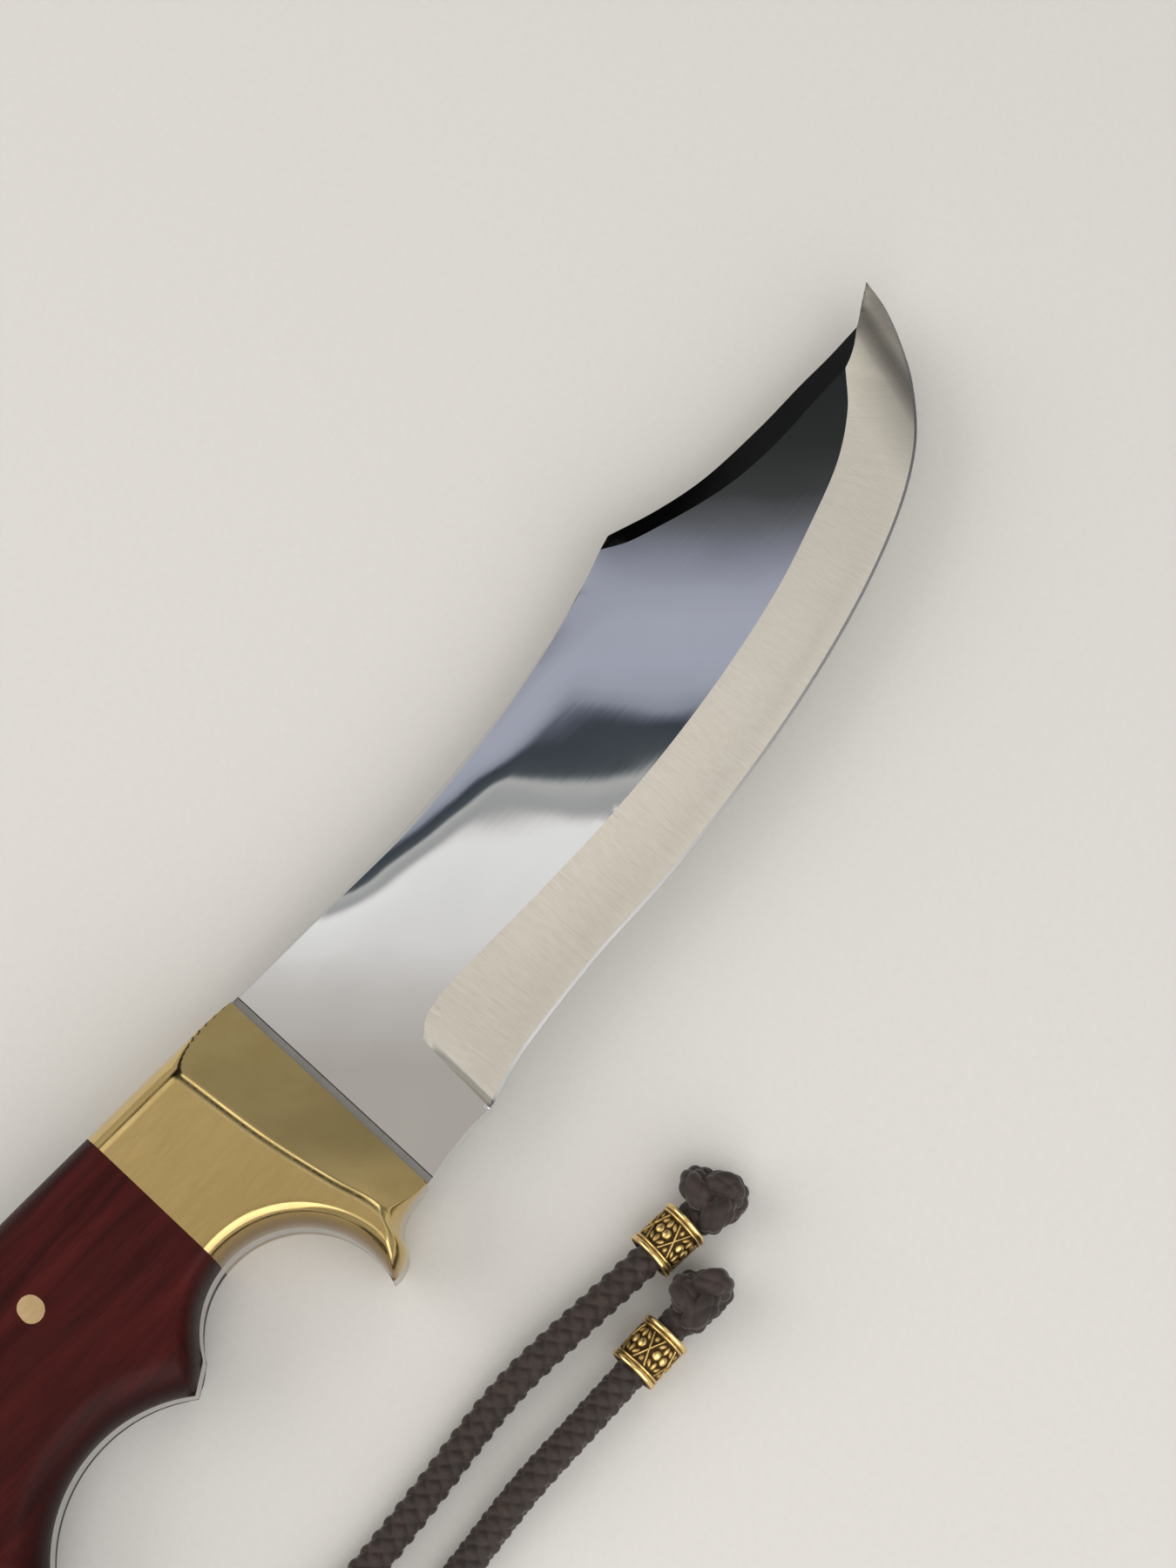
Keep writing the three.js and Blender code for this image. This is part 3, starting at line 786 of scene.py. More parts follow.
        # The satin bevel falls hollow to the edge's own bevel, and starts in a curve at the plunge.
        share = to_top / np.maximum(to_top + np.maximum(to_edge - MICRO_BEVEL, 0), 1e-9)
        top_height = satin_top_height(top_along, x)
        hollow = HOLLOW * np.sin(np.pi * np.clip(share, 0, 1)) * smooth_step(to_edge, *HOLLOW_START)
        hollow = hollow * (1 - smooth_step(x, *HOLLOW_FADE))
        ground = top_height + (MICRO_HALF - top_height) * share - hollow
        ground = ground - TIP_THINNING * np.clip((x - THINNING_FROM) / THINNING_LENGTH, 0, 1) ** 2
        micro_h = EDGE_HALF + (MICRO_HALF - EDGE_HALF) * np.clip(to_edge / MICRO_BEVEL, 0, 1)
        ground = np.where(to_edge < MICRO_BEVEL, np.minimum(ground, micro_h), ground)
        plunge_gap = x - np.interp(y, plunge[::-1, 1], plunge[::-1, 0])
        cut = np.sin(np.clip(plunge_gap / PLUNGE_WIDTH, 0, 1) * math.pi / 2) ** 0.9
        ground = full + (ground - full) * cut

        # The swedge is flat between its inner line and the clip.
        to_inner, inner_along = inner_line.nearest(places)
        to_outer, outer_along = outer_line.nearest(places)
        fall = to_inner / np.maximum(to_inner + to_outer, 1e-9)
        before_crossing = inner_line.reach[-1] - crossing_length
        on_crossing = np.clip((inner_along - before_crossing) / crossing_length, 0, 1)
        inner_height = np.where(on_crossing > 0, corner + (CLIP_HALF - corner) * on_crossing, full)
        from_corner = np.clip(outer_along / distance_along(corner_part)[-1], 0, 1)
        outer_height = full + (CLIP_HALF - full) * from_corner
        swept = inner_height + (outer_height - inner_height) * fall

        in_satin = inside(satin_zone, places) | (to_edge < ON_LINE) & (x > EDGE[0][0] + 0.01)
        in_swedge = inside(swedge_zone, places) | (to_outer < ON_LINE)
        result = np.where(in_satin, np.minimum(ground, flat), flat)
        result = np.where(in_swedge & ~in_satin, np.minimum(swept, flat), result)
        on_nose = (x > CLIP[-1][0] - 0.01) & (to_top < ON_LINE)
        result = np.where(on_nose, np.minimum(result, top_height), result)
        chamfer_here = np.interp(x, spine_x, wide)
        drop = CHAMFER_SLOPE * np.maximum(chamfer_here - CHAMFER_END, 0)
        result = result - drop * np.clip(1 - to_spine / np.maximum(chamfer_here, 1e-9), 0, 1)
        result = result - np.interp(x, SEAM_GROOVE, (0, GROOVE_DEPTH, 0))
        hole_gap = np.hypot(x - hole_x, y - hole_y) - hole_radius
        return np.where(hole_gap < 0.01, result - HOLE_BEVEL, result)

    heights = np.maximum(height(plan), THINNEST_HALF)
    points = np.vstack([np.column_stack([plan, heights]), np.column_stack([plan, -heights])])
    faces, rim = steel_faces(plan, triangles)
    zones = zone_of(plan[triangles].mean(axis=1))
    wall_zone = []
    for i, j in rim:
        middle_x = (plan[i][0] + plan[j][0]) / 2
        wall_zone.append(ZONES["tang_wall"] if middle_x < 0 else ZONES["blade_wall"])
    zone = np.concatenate([zones, zones, wall_zone])

    steel = make_object("blade_steel", to_row(points), faces)
    mesh = steel.data
    zones_at_edge = {}
    for polygon in mesh.polygons:
        for key in polygon.edge_keys:
            zones_at_edge.setdefault(key, set()).add(int(zone[polygon.index]))
    sharp = [len(zones_at_edge[mesh_edge.key]) > 1 for mesh_edge in mesh.edges]
    mesh.attributes.new("sharp_edge", "BOOLEAN", "EDGE").data.foreach_set("value", sharp)
    _, along = edge_line.nearest(plan)
    store(steel, "along", np.concatenate([along, along]))
    # The swedge, the edge's bevel and the strip at the guard are steel painted darker, as painted shade; the
    # fine groove gets a painted shadow.
    materials = [  # in the order of ZONES
        steel_mirror("steel_mirror", 0.012), steel_satin(), steel_mirror("steel_swedge", 0.09, 0.7),
        steel_mirror("steel_edge", 0.24, 0.45), steel_mirror("steel_chamfer", 0.12),
        steel_brushed("steel_tang"), steel_brushed("steel_tang_edge"), steel_mirror("steel_spine", 0.2),
        steel_brushed("steel_strip", 0.52), groove_painted_shadow(),
    ]
    for material in materials:
        mesh.materials.append(material)
    mesh.polygons.foreach_set("material_index", zone.astype(np.int32))
    mesh.update()
    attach(steel, "root")
    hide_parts("blade")


# ---- Wooden scales, brass bolsters and the pins ----
INNER_FACE = STEEL / 2 + 0.03  # where scales and bolsters meet the tang
RIDGE_ROLL = 1.6  # width over which the bolster's flat rolls down to its facet
RIDGE_DROP = 0.25  # how far it has rolled down at the ridge
FACET_HOLLOW = 0.14
RIDGE_SHARE = (0.25, 0.75)  # where the ridge may lie in a row, which is halfway if the row is upright
# Shares of the way from a row's start to the ridge, and from the ridge to the row's end.
BEHIND_RIDGE = np.concatenate([
    edge_spacing(16) * 0.5, 0.5 + 0.47 * np.linspace(0, 1, 30)[1:] ** 0.6, [0.985],
])
BEFORE_RIDGE = np.concatenate([[0.015], np.linspace(0.03, 1, 30)])
END_ROUNDING, END_CLOSENESS = 3.8, 0.9  # length over which the scales' ends round down, and how far
SWAY, SWAY_ALONG, SWAY_ACROSS = 0.03, 7.1, 5.3  # the slight unevenness that hand sanding leaves in the wood
SWAY_FROM = 8  # height of the face from which it sways
WOOD_STEP = 0.4
GROOVE_EDGE = 5.6  # widest rounding along the wood's lower line
CORNER_BLEND = 5  # power that blends the end's rounding with the sides'
PIN_CROWN = 0.035  # how far a pin's end rises in its middle


def row_shares(low_width, high_width, count):
    """Shares across a strip, with the steps of a rounding at both ends and even steps between."""
    low = edge_spacing(9) * low_width
    high = 1 - edge_spacing(9)[::-1] * high_width
    middle = np.linspace(low_width, 1 - high_width, count)[1:-1]
    return np.concatenate([low, middle, high])


def make_side_piece(name, node, grid, mirrored, material):
    """A scale or bolster over a grid of x, y and face height, with its inner face flat on the tang."""
    grid_x, grid_y, height = grid
    top = np.stack([grid_x, grid_y, height], axis=-1)
    low = np.stack([grid_x, grid_y, np.full_like(grid_x, INNER_FACE)], axis=-1)
    if mirrored:
        top, low = top * (1, 1, -1), low * (1, 1, -1)
    piece = closed_plate(name, top, low)
    sharpen(piece)
    # flank: closeness to the rounded edges, which the wood reads to paint shade on them.
    flank = np.clip(edge_closeness(grid_x, grid_y), 0, 1).ravel()
    store(piece, "flank", np.concatenate([flank, flank]))
    # groove: closeness to the finger grooves, which the brass reads to paint shade on their walls.
    groove = np.clip(np.max(groove_closeness(grid_x, grid_y), axis=0), 0, 1).ravel()
    store(piece, "groove", np.concatenate([groove, groove]))
    paint(piece, material)
    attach(piece, "root")
    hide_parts(node)


def scale_grid():
    """Columns across the wood from its rounded end to the bolster, crowded at the rounded edges."""
    start, end = SCALE_END_X, -BOLSTER_LENGTH - 0.03
    x = np.concatenate([start + edge_spacing(12) * 4, np.arange(start + 4.4, end, WOOD_STEP), [end]])
    low, high = lower_line(x) + 0.02, spine_line(x)
    stretch = np.sqrt(1 + np.clip(np.abs(np.gradient(low, x)), 0, 3) ** 2)
    width = high - low
    columns = []
    for i in range(len(x)):
        shares = row_shares(min(GROOVE_EDGE * stretch[i] / width[i], 0.45), SPINE_ROUNDING / width[i], 46)
        columns.append(low[i] + shares * width[i])
    grid_y = np.array(columns)
    grid_x = np.repeat(x[:, None], grid_y.shape[1], axis=1)
    end_close = END_CLOSENESS * np.exp(-(grid_x - SCALE_END_X) / END_ROUNDING)
    both = edge_closeness(grid_x, grid_y) ** CORNER_BLEND + end_close**CORNER_BLEND
    height = rounded_height(np.clip(both ** (1 / CORNER_BLEND), 0, 1))
    sway = SWAY * np.sin(grid_x / SWAY_ALONG) * np.cos(grid_y / SWAY_ACROSS)
    return grid_x, grid_y, np.minimum(height + sway * (height > SWAY_FROM), HANDLE_HALF)


def bolster_grid():
    """Rows from the joint with the wood, or the groove's wall, over to the guard and the quillon's front."""
    rows = 150
    joint = -BOLSTER_LENGTH
    cx, cy, radius, _ = GROOVES[0]
    top_y = float(spine_line(joint))
    low_y = cy + math.sqrt(radius**2 - (joint - cx) ** 2)
    upper = np.stack([np.full(40, joint), np.linspace(top_y, low_y, 40)], axis=1)
    left = Line(np.vstack([upper, groove_wall(joint, 120)[1:]]))
    guard = np.stack([np.zeros(60), np.linspace(float(spine_line(0.0)), PEAK_LINE[0][1], 60)], axis=1)
    front = quillon_front(80)[::-1]
    right_side = Line(np.vstack([guard, front[1:-1], front[-1:] + (0.02, -0.02)]))

    def places(line, crowding):
        """Down a side: the spine's rounding first, then steps to the quillon's point."""
        below = (line.reach[-1] - SPINE_ROUNDING) * np.linspace(0, 1, rows)[1:] ** crowding
        at = np.concatenate([edge_spacing(14) * SPINE_ROUNDING, SPINE_ROUNDING + below])
        return np.stack([np.interp(at, line.reach, line.points[:, k]) for k in range(2)], axis=1)

    ridge = spline(RIDGE, 12)
    grid = []
    for a, b in zip(places(left, 1), places(right_side, 1.25)):
        crest = np.interp((a[1] + b[1]) / 2, ridge[:, 0], ridge[:, 1])
        span = b - a
        share = np.clip((crest - a[0]) / span[0] if abs(span[0]) > 1e-6 else 0.5, *RIDGE_SHARE)
        t = np.concatenate([BEHIND_RIDGE * share, [share], share + BEFORE_RIDGE * (1 - share)])
        grid.append(a + t[:, None] * span)
    grid = np.array(grid)
    grid_x, grid_y = grid[..., 0], grid[..., 1]
    height = rounded_height(edge_closeness(grid_x, grid_y))
    crest_x = np.interp(grid_y, ridge[:, 0], ridge[:, 1])
    foot = STEEL / 2 + SEAM
    along = np.clip(grid_x / crest_x, -0.2, 1.4)
    rise = HANDLE_HALF - RIDGE_DROP - foot
    facet = foot + rise * along - FACET_HOLLOW * np.sin(np.pi * np.clip(along, 0, 1))
    behind_ridge = np.clip(1 - (crest_x - grid_x) / RIDGE_ROLL, 0, 1)
    height = soft_min(height - RIDGE_DROP * behind_ridge**2, facet, 0.10)
    return grid_x, grid_y, np.clip(height, INNER_FACE + 0.3, HANDLE_HALF)


def make_handle():
    wood = wood_material()
    brass = brass_material()
    wood_grid, brass_grid = scale_grid(), bolster_grid()
    for side, mirrored in (("left", False), ("right", True)):
        make_side_piece(f"wood_scale_{side}", f"scale_{side}", wood_grid, mirrored, wood)
    for side, mirrored in (("left", False), ("right", True)):
        make_side_piece(f"brass_bolster_{side}", f"bolster_{side}", brass_grid, mirrored, brass)


def make_pin(name, place):
    """A cut and filed pin, flush with the wood on both sides, its ends very slightly crowned."""
    sides = 96
    half = HANDLE_HALF - 0.02
    inward = np.linspace(0, 1, 14)
    crown = [(PIN_RADIUS * (1 - s), half + PIN_CROWN * (1 - (1 - s) ** 2)) for s in inward]
    rings = [(radius, -height) for radius, height in crown[-2::-1]] + crown[:-1]
    end = crown[-1][1]
    turn = np.linspace(0, 2 * math.pi, sides, endpoint=False)
    points = [(radius * math.cos(t), radius * math.sin(t), z) for radius, z in rings for t in turn]
    points = np.array(points + [(0, 0, -end), (0, 0, end)]) + (*place, 0)
    pin = make_object(f"pin_{name}", to_row(points), capped_faces(len(rings), sides))
    face_outwards(pin)
    sharpen(pin)
    paint(pin, pin_material())
    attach(pin, "root")
    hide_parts(name)

# ---- Beads and knots ----
BEAD_HALF, BEAD_RIM, BEAD_BORE, BEAD_HEIGHT = 3.9, 4.0, 2.62, 4.0
BAND_HALF = 2.35  # half the length of the ornamented band
ORNAMENT_HEIGHT = 0.32
PEARL_PAIRS = 5  # round the bead
KNOT_CORD_RADIUS = 2.3
KNOT_HALF_HEIGHT = 4.5
KNOT_DRAWN_UP = 0.7  # how much nearer to the bead each knot reaches
KNOT_VOXEL = 0.13


def bead_relief(x, turn, radius):
    """Cast ornament on a bead's band: pairs of pearls among leaves, parted by crossed bars."""
    outer = (radius > BEAD_BORE + 0.4) & (np.abs(x) < BAND_HALF)
    cell = 2 * math.pi * BEAD_RIM / PEARL_PAIRS
    p = ((turn / (2 * math.pi) * PEARL_PAIRS) % 1 - 0.5) * cell


    def dome(du, dv, size_u, size_v, lean=0.0):
        a, b = p - du, x - dv
        u = a * math.cos(lean) + b * math.sin(lean)
        v = b * math.cos(lean) - a * math.sin(lean)
        return np.sqrt(np.maximum(1 - (u / size_u) ** 2 - (v / size_v) ** 2, 0))

    shapes = [1.15 * dome(0.82, 0, 0.80, 0.80), 1.15 * dome(-0.82, 0, 0.80, 0.80)]
    for side_v in (1, -1):
        shapes.append(0.85 * dome(0, 1.42 * side_v, 0.44, 0.78))
        shapes.append(0.75 * dome(1.02, 1.5 * side_v, 0.36, 0.74, 0.75 * side_v))
        shapes.append(0.75 * dome(-1.02, 1.5 * side_v, 0.36, 0.74, -0.75 * side_v))
        shapes.append(0.7 * dome(cell / 2, 1.75 * side_v, 0.42, 0.5))
        shapes.append(0.7 * dome(-cell / 2, 1.75 * side_v, 0.42, 0.5))
    from_side = cell / 2 - np.abs(p)
    for slope in (0.5, -0.5):
        for side_p in (1, -1):
            bar = np.abs(side_p * p - cell / 2 - slope * x)
            shapes.append(0.8 * np.exp(-((bar / 0.17) ** 4)) * (from_side < 1.3))
    tallest = shapes[0]
    for shape in shapes[1:]:
        tallest = np.maximum(tallest, shape)
    return outer * ORNAMENT_HEIGHT * tallest


def bead_profile():
    """Radius and x round a bead's wall: bore, end face, double rim, band, double rim, end face."""
    r = BEAD_RIM
    right_side = [
        (BEAD_BORE, 0.0), (BEAD_BORE, 1.8), (BEAD_BORE, 3.3), (BEAD_BORE + 0.15, 3.7),
        (BEAD_BORE + 0.4, BEAD_HALF), (r - 0.35, BEAD_HALF), (r - 0.12, 3.84), (r - 0.02, 3.7), (r, 3.5),
        (r - 0.03, 3.3), (r - 0.16, 3.14), (r - 0.36, 3.06), (r - 0.4, 3.0), (r - 0.34, 2.92),
        (r - 0.17, 2.84), (r - 0.13, 2.72), (r - 0.17, 2.6), (r - 0.38, 2.5), (r - 0.5, 2.42),
    ]
    band = [(r - 0.5, x) for x in np.linspace(2.34, -2.34, 74)]
    left_side = [(radius, -x) for radius, x in right_side[::-1]]
    return right_side + band + left_side[:-1]


def lathe(profile, sides, relief):
    """Points and faces of a turned ring around X: profile is a closed loop of (radius, x) in mm."""
    profile = np.asarray(profile, dtype=float)
    turn = np.linspace(0, 2 * math.pi, sides, endpoint=False)
    radius = np.repeat(profile[:, :1], sides, axis=1)
    x = np.repeat(profile[:, 1:2], sides, axis=1)
    radius = radius + relief(x, turn[None, :], radius)
    points = np.stack([x, radius * np.cos(turn), radius * np.sin(turn)], axis=-1)
    faces = grid_faces(len(profile), sides, around=True)
    first = np.arange(sides)
    after = (first + 1) % sides
    last = (len(profile) - 1) * sides
    closing = np.stack([last + first, last + after, after, first], axis=-1)
    return points.reshape(-1, 3), np.vstack([faces, closing])


def laid_along(leg, points, middle, height):
    """Points around X, turned to the leg's direction, around a middle at a height over the floor."""
    bead, knot = np.array(leg["bead"]), np.array(leg["knot"])
    dx, dy = (bead - knot) / np.linalg.norm(bead - knot)
    x, y, z = points.T
    return np.stack([x * dx - y * dy, x * dy + y * dx, z], axis=1) + (*middle, height - HANDLE_HALF)


def make_bead(side):
    leg = LEGS[side]
    points, faces = lathe(bead_profile(), 220, bead_relief)
    x, y, z = points.T
    cos_spin, sin_spin = math.cos(leg["bead_spin"]), math.sin(leg["bead_spin"])
    spun = np.stack([x, y * cos_spin - z * sin_spin, y * sin_spin + z * cos_spin], axis=1)
    bead = make_object(f"cast_bead_{side}", to_row(laid_along(leg, spun, leg["bead"], BEAD_HEIGHT)), faces)
    face_outwards(bead)
    store(bead, "raised", np.clip((np.hypot(y, z) - (BEAD_RIM - 0.5)) / 0.42, 0, 1))
    paint(bead, bead_material())
    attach(bead, f"bead_{side}")
    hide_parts(f"bead_{side}")
    return bead


def knot_path(half_size, radius):
    """An overhand knot's closed run of cord, drawn up tight."""
    t = np.linspace(0, 2 * math.pi, 500, endpoint=False)
    path = np.stack([np.sin(t) + 2 * np.sin(2 * t), np.cos(t) - 2 * np.cos(2 * t), -np.sin(3 * t)], axis=1)
    path /= np.abs(path).max(axis=0)
    return path * (np.array(half_size) - radius)


def closed_tube(path, radius, sides, relief):
    """A braided tube whose ends meet."""
    onward = np.roll(path, -1, axis=0) - np.roll(path, 1, axis=0)
    onward /= np.linalg.norm(onward, axis=1)[:, None]
    inward = path - path.mean(axis=0)
    across = inward - onward * np.sum(inward * onward, axis=1)[:, None]
    across /= np.linalg.norm(across, axis=1)[:, None]
    distance = distance_along(path)
    total = distance[-1] + np.linalg.norm(path[0] - path[-1])
    pitch = total / round(total / STRAND_PITCH)
    whole = distance / pitch * STRAND_PITCH
    points, _ = braid_points(path, across, np.cross(onward, across), whole, radius, sides, relief)
    i, j = np.meshgrid(np.arange(len(path)), np.arange(sides), indexing="ij")
    n, k = (i + 1) % len(path), (j + 1) % sides
    faces = np.stack([i * sides + j, i * sides + k, n * sides + k, n * sides + j], axis=-1).reshape(-1, 4)
    return points, faces


def make_knot(side):
    leg = LEGS[side]
    half_length, half_width = leg["knot_half"]
    path = knot_path((half_length + KNOT_DRAWN_UP, half_width, KNOT_HALF_HEIGHT), KNOT_CORD_RADIUS)
    points, faces = closed_tube(path, KNOT_CORD_RADIUS, 64, KNOT_RELIEF)
    placed = laid_along(leg, points, leg["knot"], KNOT_HALF_HEIGHT)
    knot = make_object(f"cord_knot_{side}", to_row(placed), faces)
    remesh = knot.modifiers.new("whole", "REMESH")
    remesh.mode = "VOXEL"
    remesh.voxel_size = KNOT_VOXEL * MM
    remesh.use_smooth_shade = True
    apply_modifiers(knot)
    paint(knot, cord_material("cord_knot"))
    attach(knot, "root")
    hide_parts(f"knot_{side}")
    return knot


def apply_modifiers(obj):
    """The mesh as its modifiers leave it, with none left on the piece."""
    graph = bpy.context.evaluated_depsgraph_get()
    mesh = bpy.data.meshes.new_from_object(obj.evaluated_get(graph))
    obj.modifiers.clear()
    obj.data = mesh


# ---- Materials ----
PAINTED_STREAK_PLACE = (147.9, 18.3)  # in the middle of the painted shade streak near the bevel's tip, x and y
PAINTED_STREAK_ACROSS = (0.951, -0.308, 0.0)  # direction across it, towards the tip


def steel_mirror(name, roughness, painted_shade=1.0):
    """Polished steel with faint hairlines along the blade and the slight ripple of hand polishing; its last
    argument, under 1, paints it darker as painted shade.
    """
    n = Material(name)
    hairlines = n.noise(n.coords((60, 1400, 60)), 1.0, 6.0, 0.6)
    smears = n.noise(n.coords((45, 70, 45)), 1.0, 4.0, 0.55, 0.4)
    ripple = n.noise(n.coords(), 60.0, 1.0)
    worn = n.math("MULTIPLY", hairlines, smears)
    n.set(
        Base_Color=n.mix(smears, (0.70 * painted_shade, 0.70 * painted_shade, 0.71 * painted_shade), grey(0.80 * painted_shade)),
        Metallic=1.0,
        Roughness=n.remap(worn, 0.1, 0.5, roughness, roughness * 1.4 + 0.012),
    )
    n.bumps((hairlines, 0.02, 0.00002), (ripple, 0.08, 0.0002))
    return n.material


def steel_satin():
    """The belt-ground bevel: fine lines across the band, and a dark streak of painted shade near the tip,
    where the bevel turns, with darker colour beyond it.
    """
    n = Material("steel_satin")
    onward = n.dot(n.coords(), PAINTED_STREAK_ACROSS)
    start = float(np.dot(to_row((*PAINTED_STREAK_PLACE, 0)), PAINTED_STREAK_ACROSS))
    past_painted_streak = n.math("DIVIDE", n.math("SUBTRACT", onward, start), MM)
    # Painted shade: the bevel's colour darkens across a band near the tip and stays darker towards the tip.
    painted_streak = n.ramp(n.remap(past_painted_streak, -10.0, 6.0), [
        (0.0, grey(0.97)), (0.2, grey(0.80)), (0.36, grey(0.64)), (0.42, (0.56, 0.56, 0.57)),
        (0.49, (0.36, 0.36, 0.37)), (0.56, (0.24, 0.24, 0.245)), (0.625, (0.19, 0.19, 0.195)),
        (0.67, (0.23, 0.23, 0.24)), (0.74, (0.38, 0.38, 0.385)), (1.0, grey(0.42)),
    ])
    vector = n.add("ShaderNodeCombineXYZ")
    across = n.add("ShaderNodeSeparateXYZ")
    n.feed(across, Vector=n.coords((120, 120, 120)))
    n.feed(vector, X=n.math("MULTIPLY", n.attribute("along"), 6.5), Y=across.outputs["Y"])
    lines = n.noise(vector.outputs["Vector"], 1.0, 5.0, 0.7)
    fine = n.noise(n.coords((2200, 500, 500)), 1.0, 3.0, 0.6)
    cloud = n.noise(n.coords(), 90.0, 3.0)
    tone = n.math("ADD", n.math("MULTIPLY", lines, 0.7), n.math("MULTIPLY", fine, 0.3))
    ground = n.mix(n.remap(tone, 0.3, 0.7), (0.73, 0.685, 0.61), (0.90, 0.86, 0.785))
    n.set(
        Base_Color=n.mix(1.0, ground, painted_streak, "MULTIPLY"),
        Metallic=1.0,
        Roughness=n.remap(n.math("ADD", tone, n.math("MULTIPLY", cloud, 0.3)), 0.4, 0.95, 0.26, 0.36),
        Anisotropic=0.35,
    )
    n.bumps((lines, 0.22, 0.00003), (fine, 0.12, 0.00002))
    return n.material


def steel_brushed(name, painted_shade=1.0):
    """Plain steel with fine lines from the belt, for the tang and the strip at the guard; its last argument,
    under 1, paints it darker as painted shade.
    """
    n = Material(name)
    lines = n.noise(n.coords((90, 3000, 300)), 1.0, 4.0, 0.6)
    cloud = n.noise(n.coords(), 150.0, 3.0)
    dark = (0.50 * painted_shade, 0.49 * painted_shade, 0.47 * painted_shade)
    light = (0.62 * painted_shade, 0.61 * painted_shade, 0.59 * painted_shade)
    n.set(
        Base_Color=n.mix(cloud, dark, light),
        Metallic=1.0,
        Roughness=n.remap(lines, 0.3, 0.7, 0.26, 0.42),
    )
    n.bumps((lines, 0.2, 0.00003))
    return n.material


def groove_painted_shadow():
    """Painted shadow in the fine groove along the guard: a near-black colour, mottled a little."""
    n = Material("groove_painted_shadow")
    mottle = n.noise(n.coords(), 1200.0, 3.0)
    # Painted shadow: near-black colour laid where the groove's shade falls.
    n.set(Base_Color=n.mix(mottle, (0.012, 0.010, 0.008), (0.04, 0.035, 0.028)), Roughness=0.7)
    return n.material


def brass_material():
    """Buffed brass: fine swirls from the wheel, a soft ripple, warmer tones where it tarnishes, and painted
    shade on the walls of the finger grooves.
    """
    n = Material("brass_polished")
    hairlines = n.noise(n.coords((200, 1500, 700)), 1.0, 5.0, 0.6, 0.5)
    tarnish = n.noise(n.coords(), 95.0, 5.0, 0.6, 0.3)
    ripple = n.noise(n.coords(), 160.0, 2.0)
    clean = n.mix(n.remap(tarnish, 0.35, 0.7), (0.70, 0.53, 0.235), (0.60, 0.445, 0.185))
    n.set(
        # Painted shade: the brass is painted dark brown towards the finger grooves' walls.
        Base_Color=n.mix(n.remap(n.attribute("groove"), 0.05, 0.9, 0.0, 0.8), clean, (0.17, 0.10, 0.045)),
        Metallic=1.0,
        Roughness=n.remap(n.math("ADD", hairlines, tarnish), 0.7, 1.3, 0.11, 0.24),
    )
    n.bumps((hairlines, 0.07, 0.00003), (ripple, 0.06, 0.0002))
    return n.material


def pin_material():
    n = Material("pin_brass")
    lines = n.noise(n.coords((500, 4000, 500)), 1.0, 4.0, 0.6)
    cloud = n.noise(n.coords(), 300.0, 3.0)
    n.set(
        Base_Color=n.mix(cloud, (0.50, 0.36, 0.19), (0.64, 0.47, 0.26)),
        Metallic=1.0,
        Roughness=n.remap(lines, 0.3, 0.7, 0.30, 0.46),
    )
    n.bumps((lines, 0.25, 0.00003))
    return n.material


def bead_material():
    """Cast brass, rubbed bright on the raised ornament and dark brown in the ground behind it."""
    n = Material("bead_brass")
    raised = n.attribute("raised")
    mottle = n.noise(n.coords(), 1400.0, 4.0)
    shown = n.math("ADD", raised, n.math("MULTIPLY", n.math("SUBTRACT", mottle, 0.5), 0.5))
    colour = n.ramp(n.remap(shown, 0.0, 1.0), [
        (0.0, (0.045, 0.028, 0.012)), (0.25, (0.13, 0.08, 0.03)), (0.5, (0.50, 0.34, 0.12)),
        (1.0, (0.86, 0.64, 0.28)),
    ])
    n.set(
        Base_Color=colour,
        Metallic=1.0,
        Roughness=n.remap(shown, 0.2, 0.9, 0.55, 0.24),
    )
    n.bumps((mottle, 0.2, 0.00005))
    return n.material


def wood_material():
    """Satin red-brown wood: long dark pores and streaks down the handle, broad figure, and painted shade on
    the rounded flanks.
    """
    n = Material("wood_red")
    warp = n.noise(n.coords((14, 30, 30)), 1.0, 3.0, 0.5)
    shift = n.add("ShaderNodeCombineXYZ")
    n.feed(shift, Y=n.math("MULTIPLY", warp, 5.0))
    shifted = n.add("ShaderNodeVectorMath", operation="ADD")
    n.join(n.coords((28, 330, 330)), shifted.inputs[0])
    n.join(shift.outputs["Vector"], shifted.inputs[1])
    streaks = n.noise(shifted.outputs["Vector"], 1.0, 6.0, 0.62, 0.25)
    pores = n.noise(n.coords((170, 2600, 2600)), 1.0, 3.0, 0.6)
    figure = n.noise(n.coords((22, 60, 60)), 1.0, 4.0, 0.55, 0.8)
    colour = n.ramp(streaks, [
        (0.20, (0.016, 0.0022, 0.0020)), (0.42, (0.034, 0.0040, 0.0036)),
        (0.55, (0.050, 0.0056, 0.0050)), (0.78, (0.074, 0.0095, 0.0078)),
    ])
    darker = n.mix(n.remap(figure, 0.42, 0.75, 0.0, 0.75), colour, (0.022, 0.0036, 0.0034))
    pored = n.mix(n.remap(pores, 0.60, 0.72, 0.0, 0.7), darker, (0.010, 0.003, 0.003))
    # Painted shade: the rounded edges and flanks are painted near black, more so nearer the upright flank.
    flank_painted_shade = n.mix(n.remap(n.attribute("flank"), 0.25, 0.95, 0.0, 0.85), pored, (0.008, 0.0022, 0.0022))
    n.set(
        Base_Color=flank_painted_shade,
        Roughness=n.remap(n.math("ADD", streaks, pores), 0.7, 1.3, 0.34, 0.50),
        Specular_IOR_Level=0.10,
    )
    n.bumps((pores, 0.25, 0.00005), (streaks, 0.12, 0.00012))
    return n.material


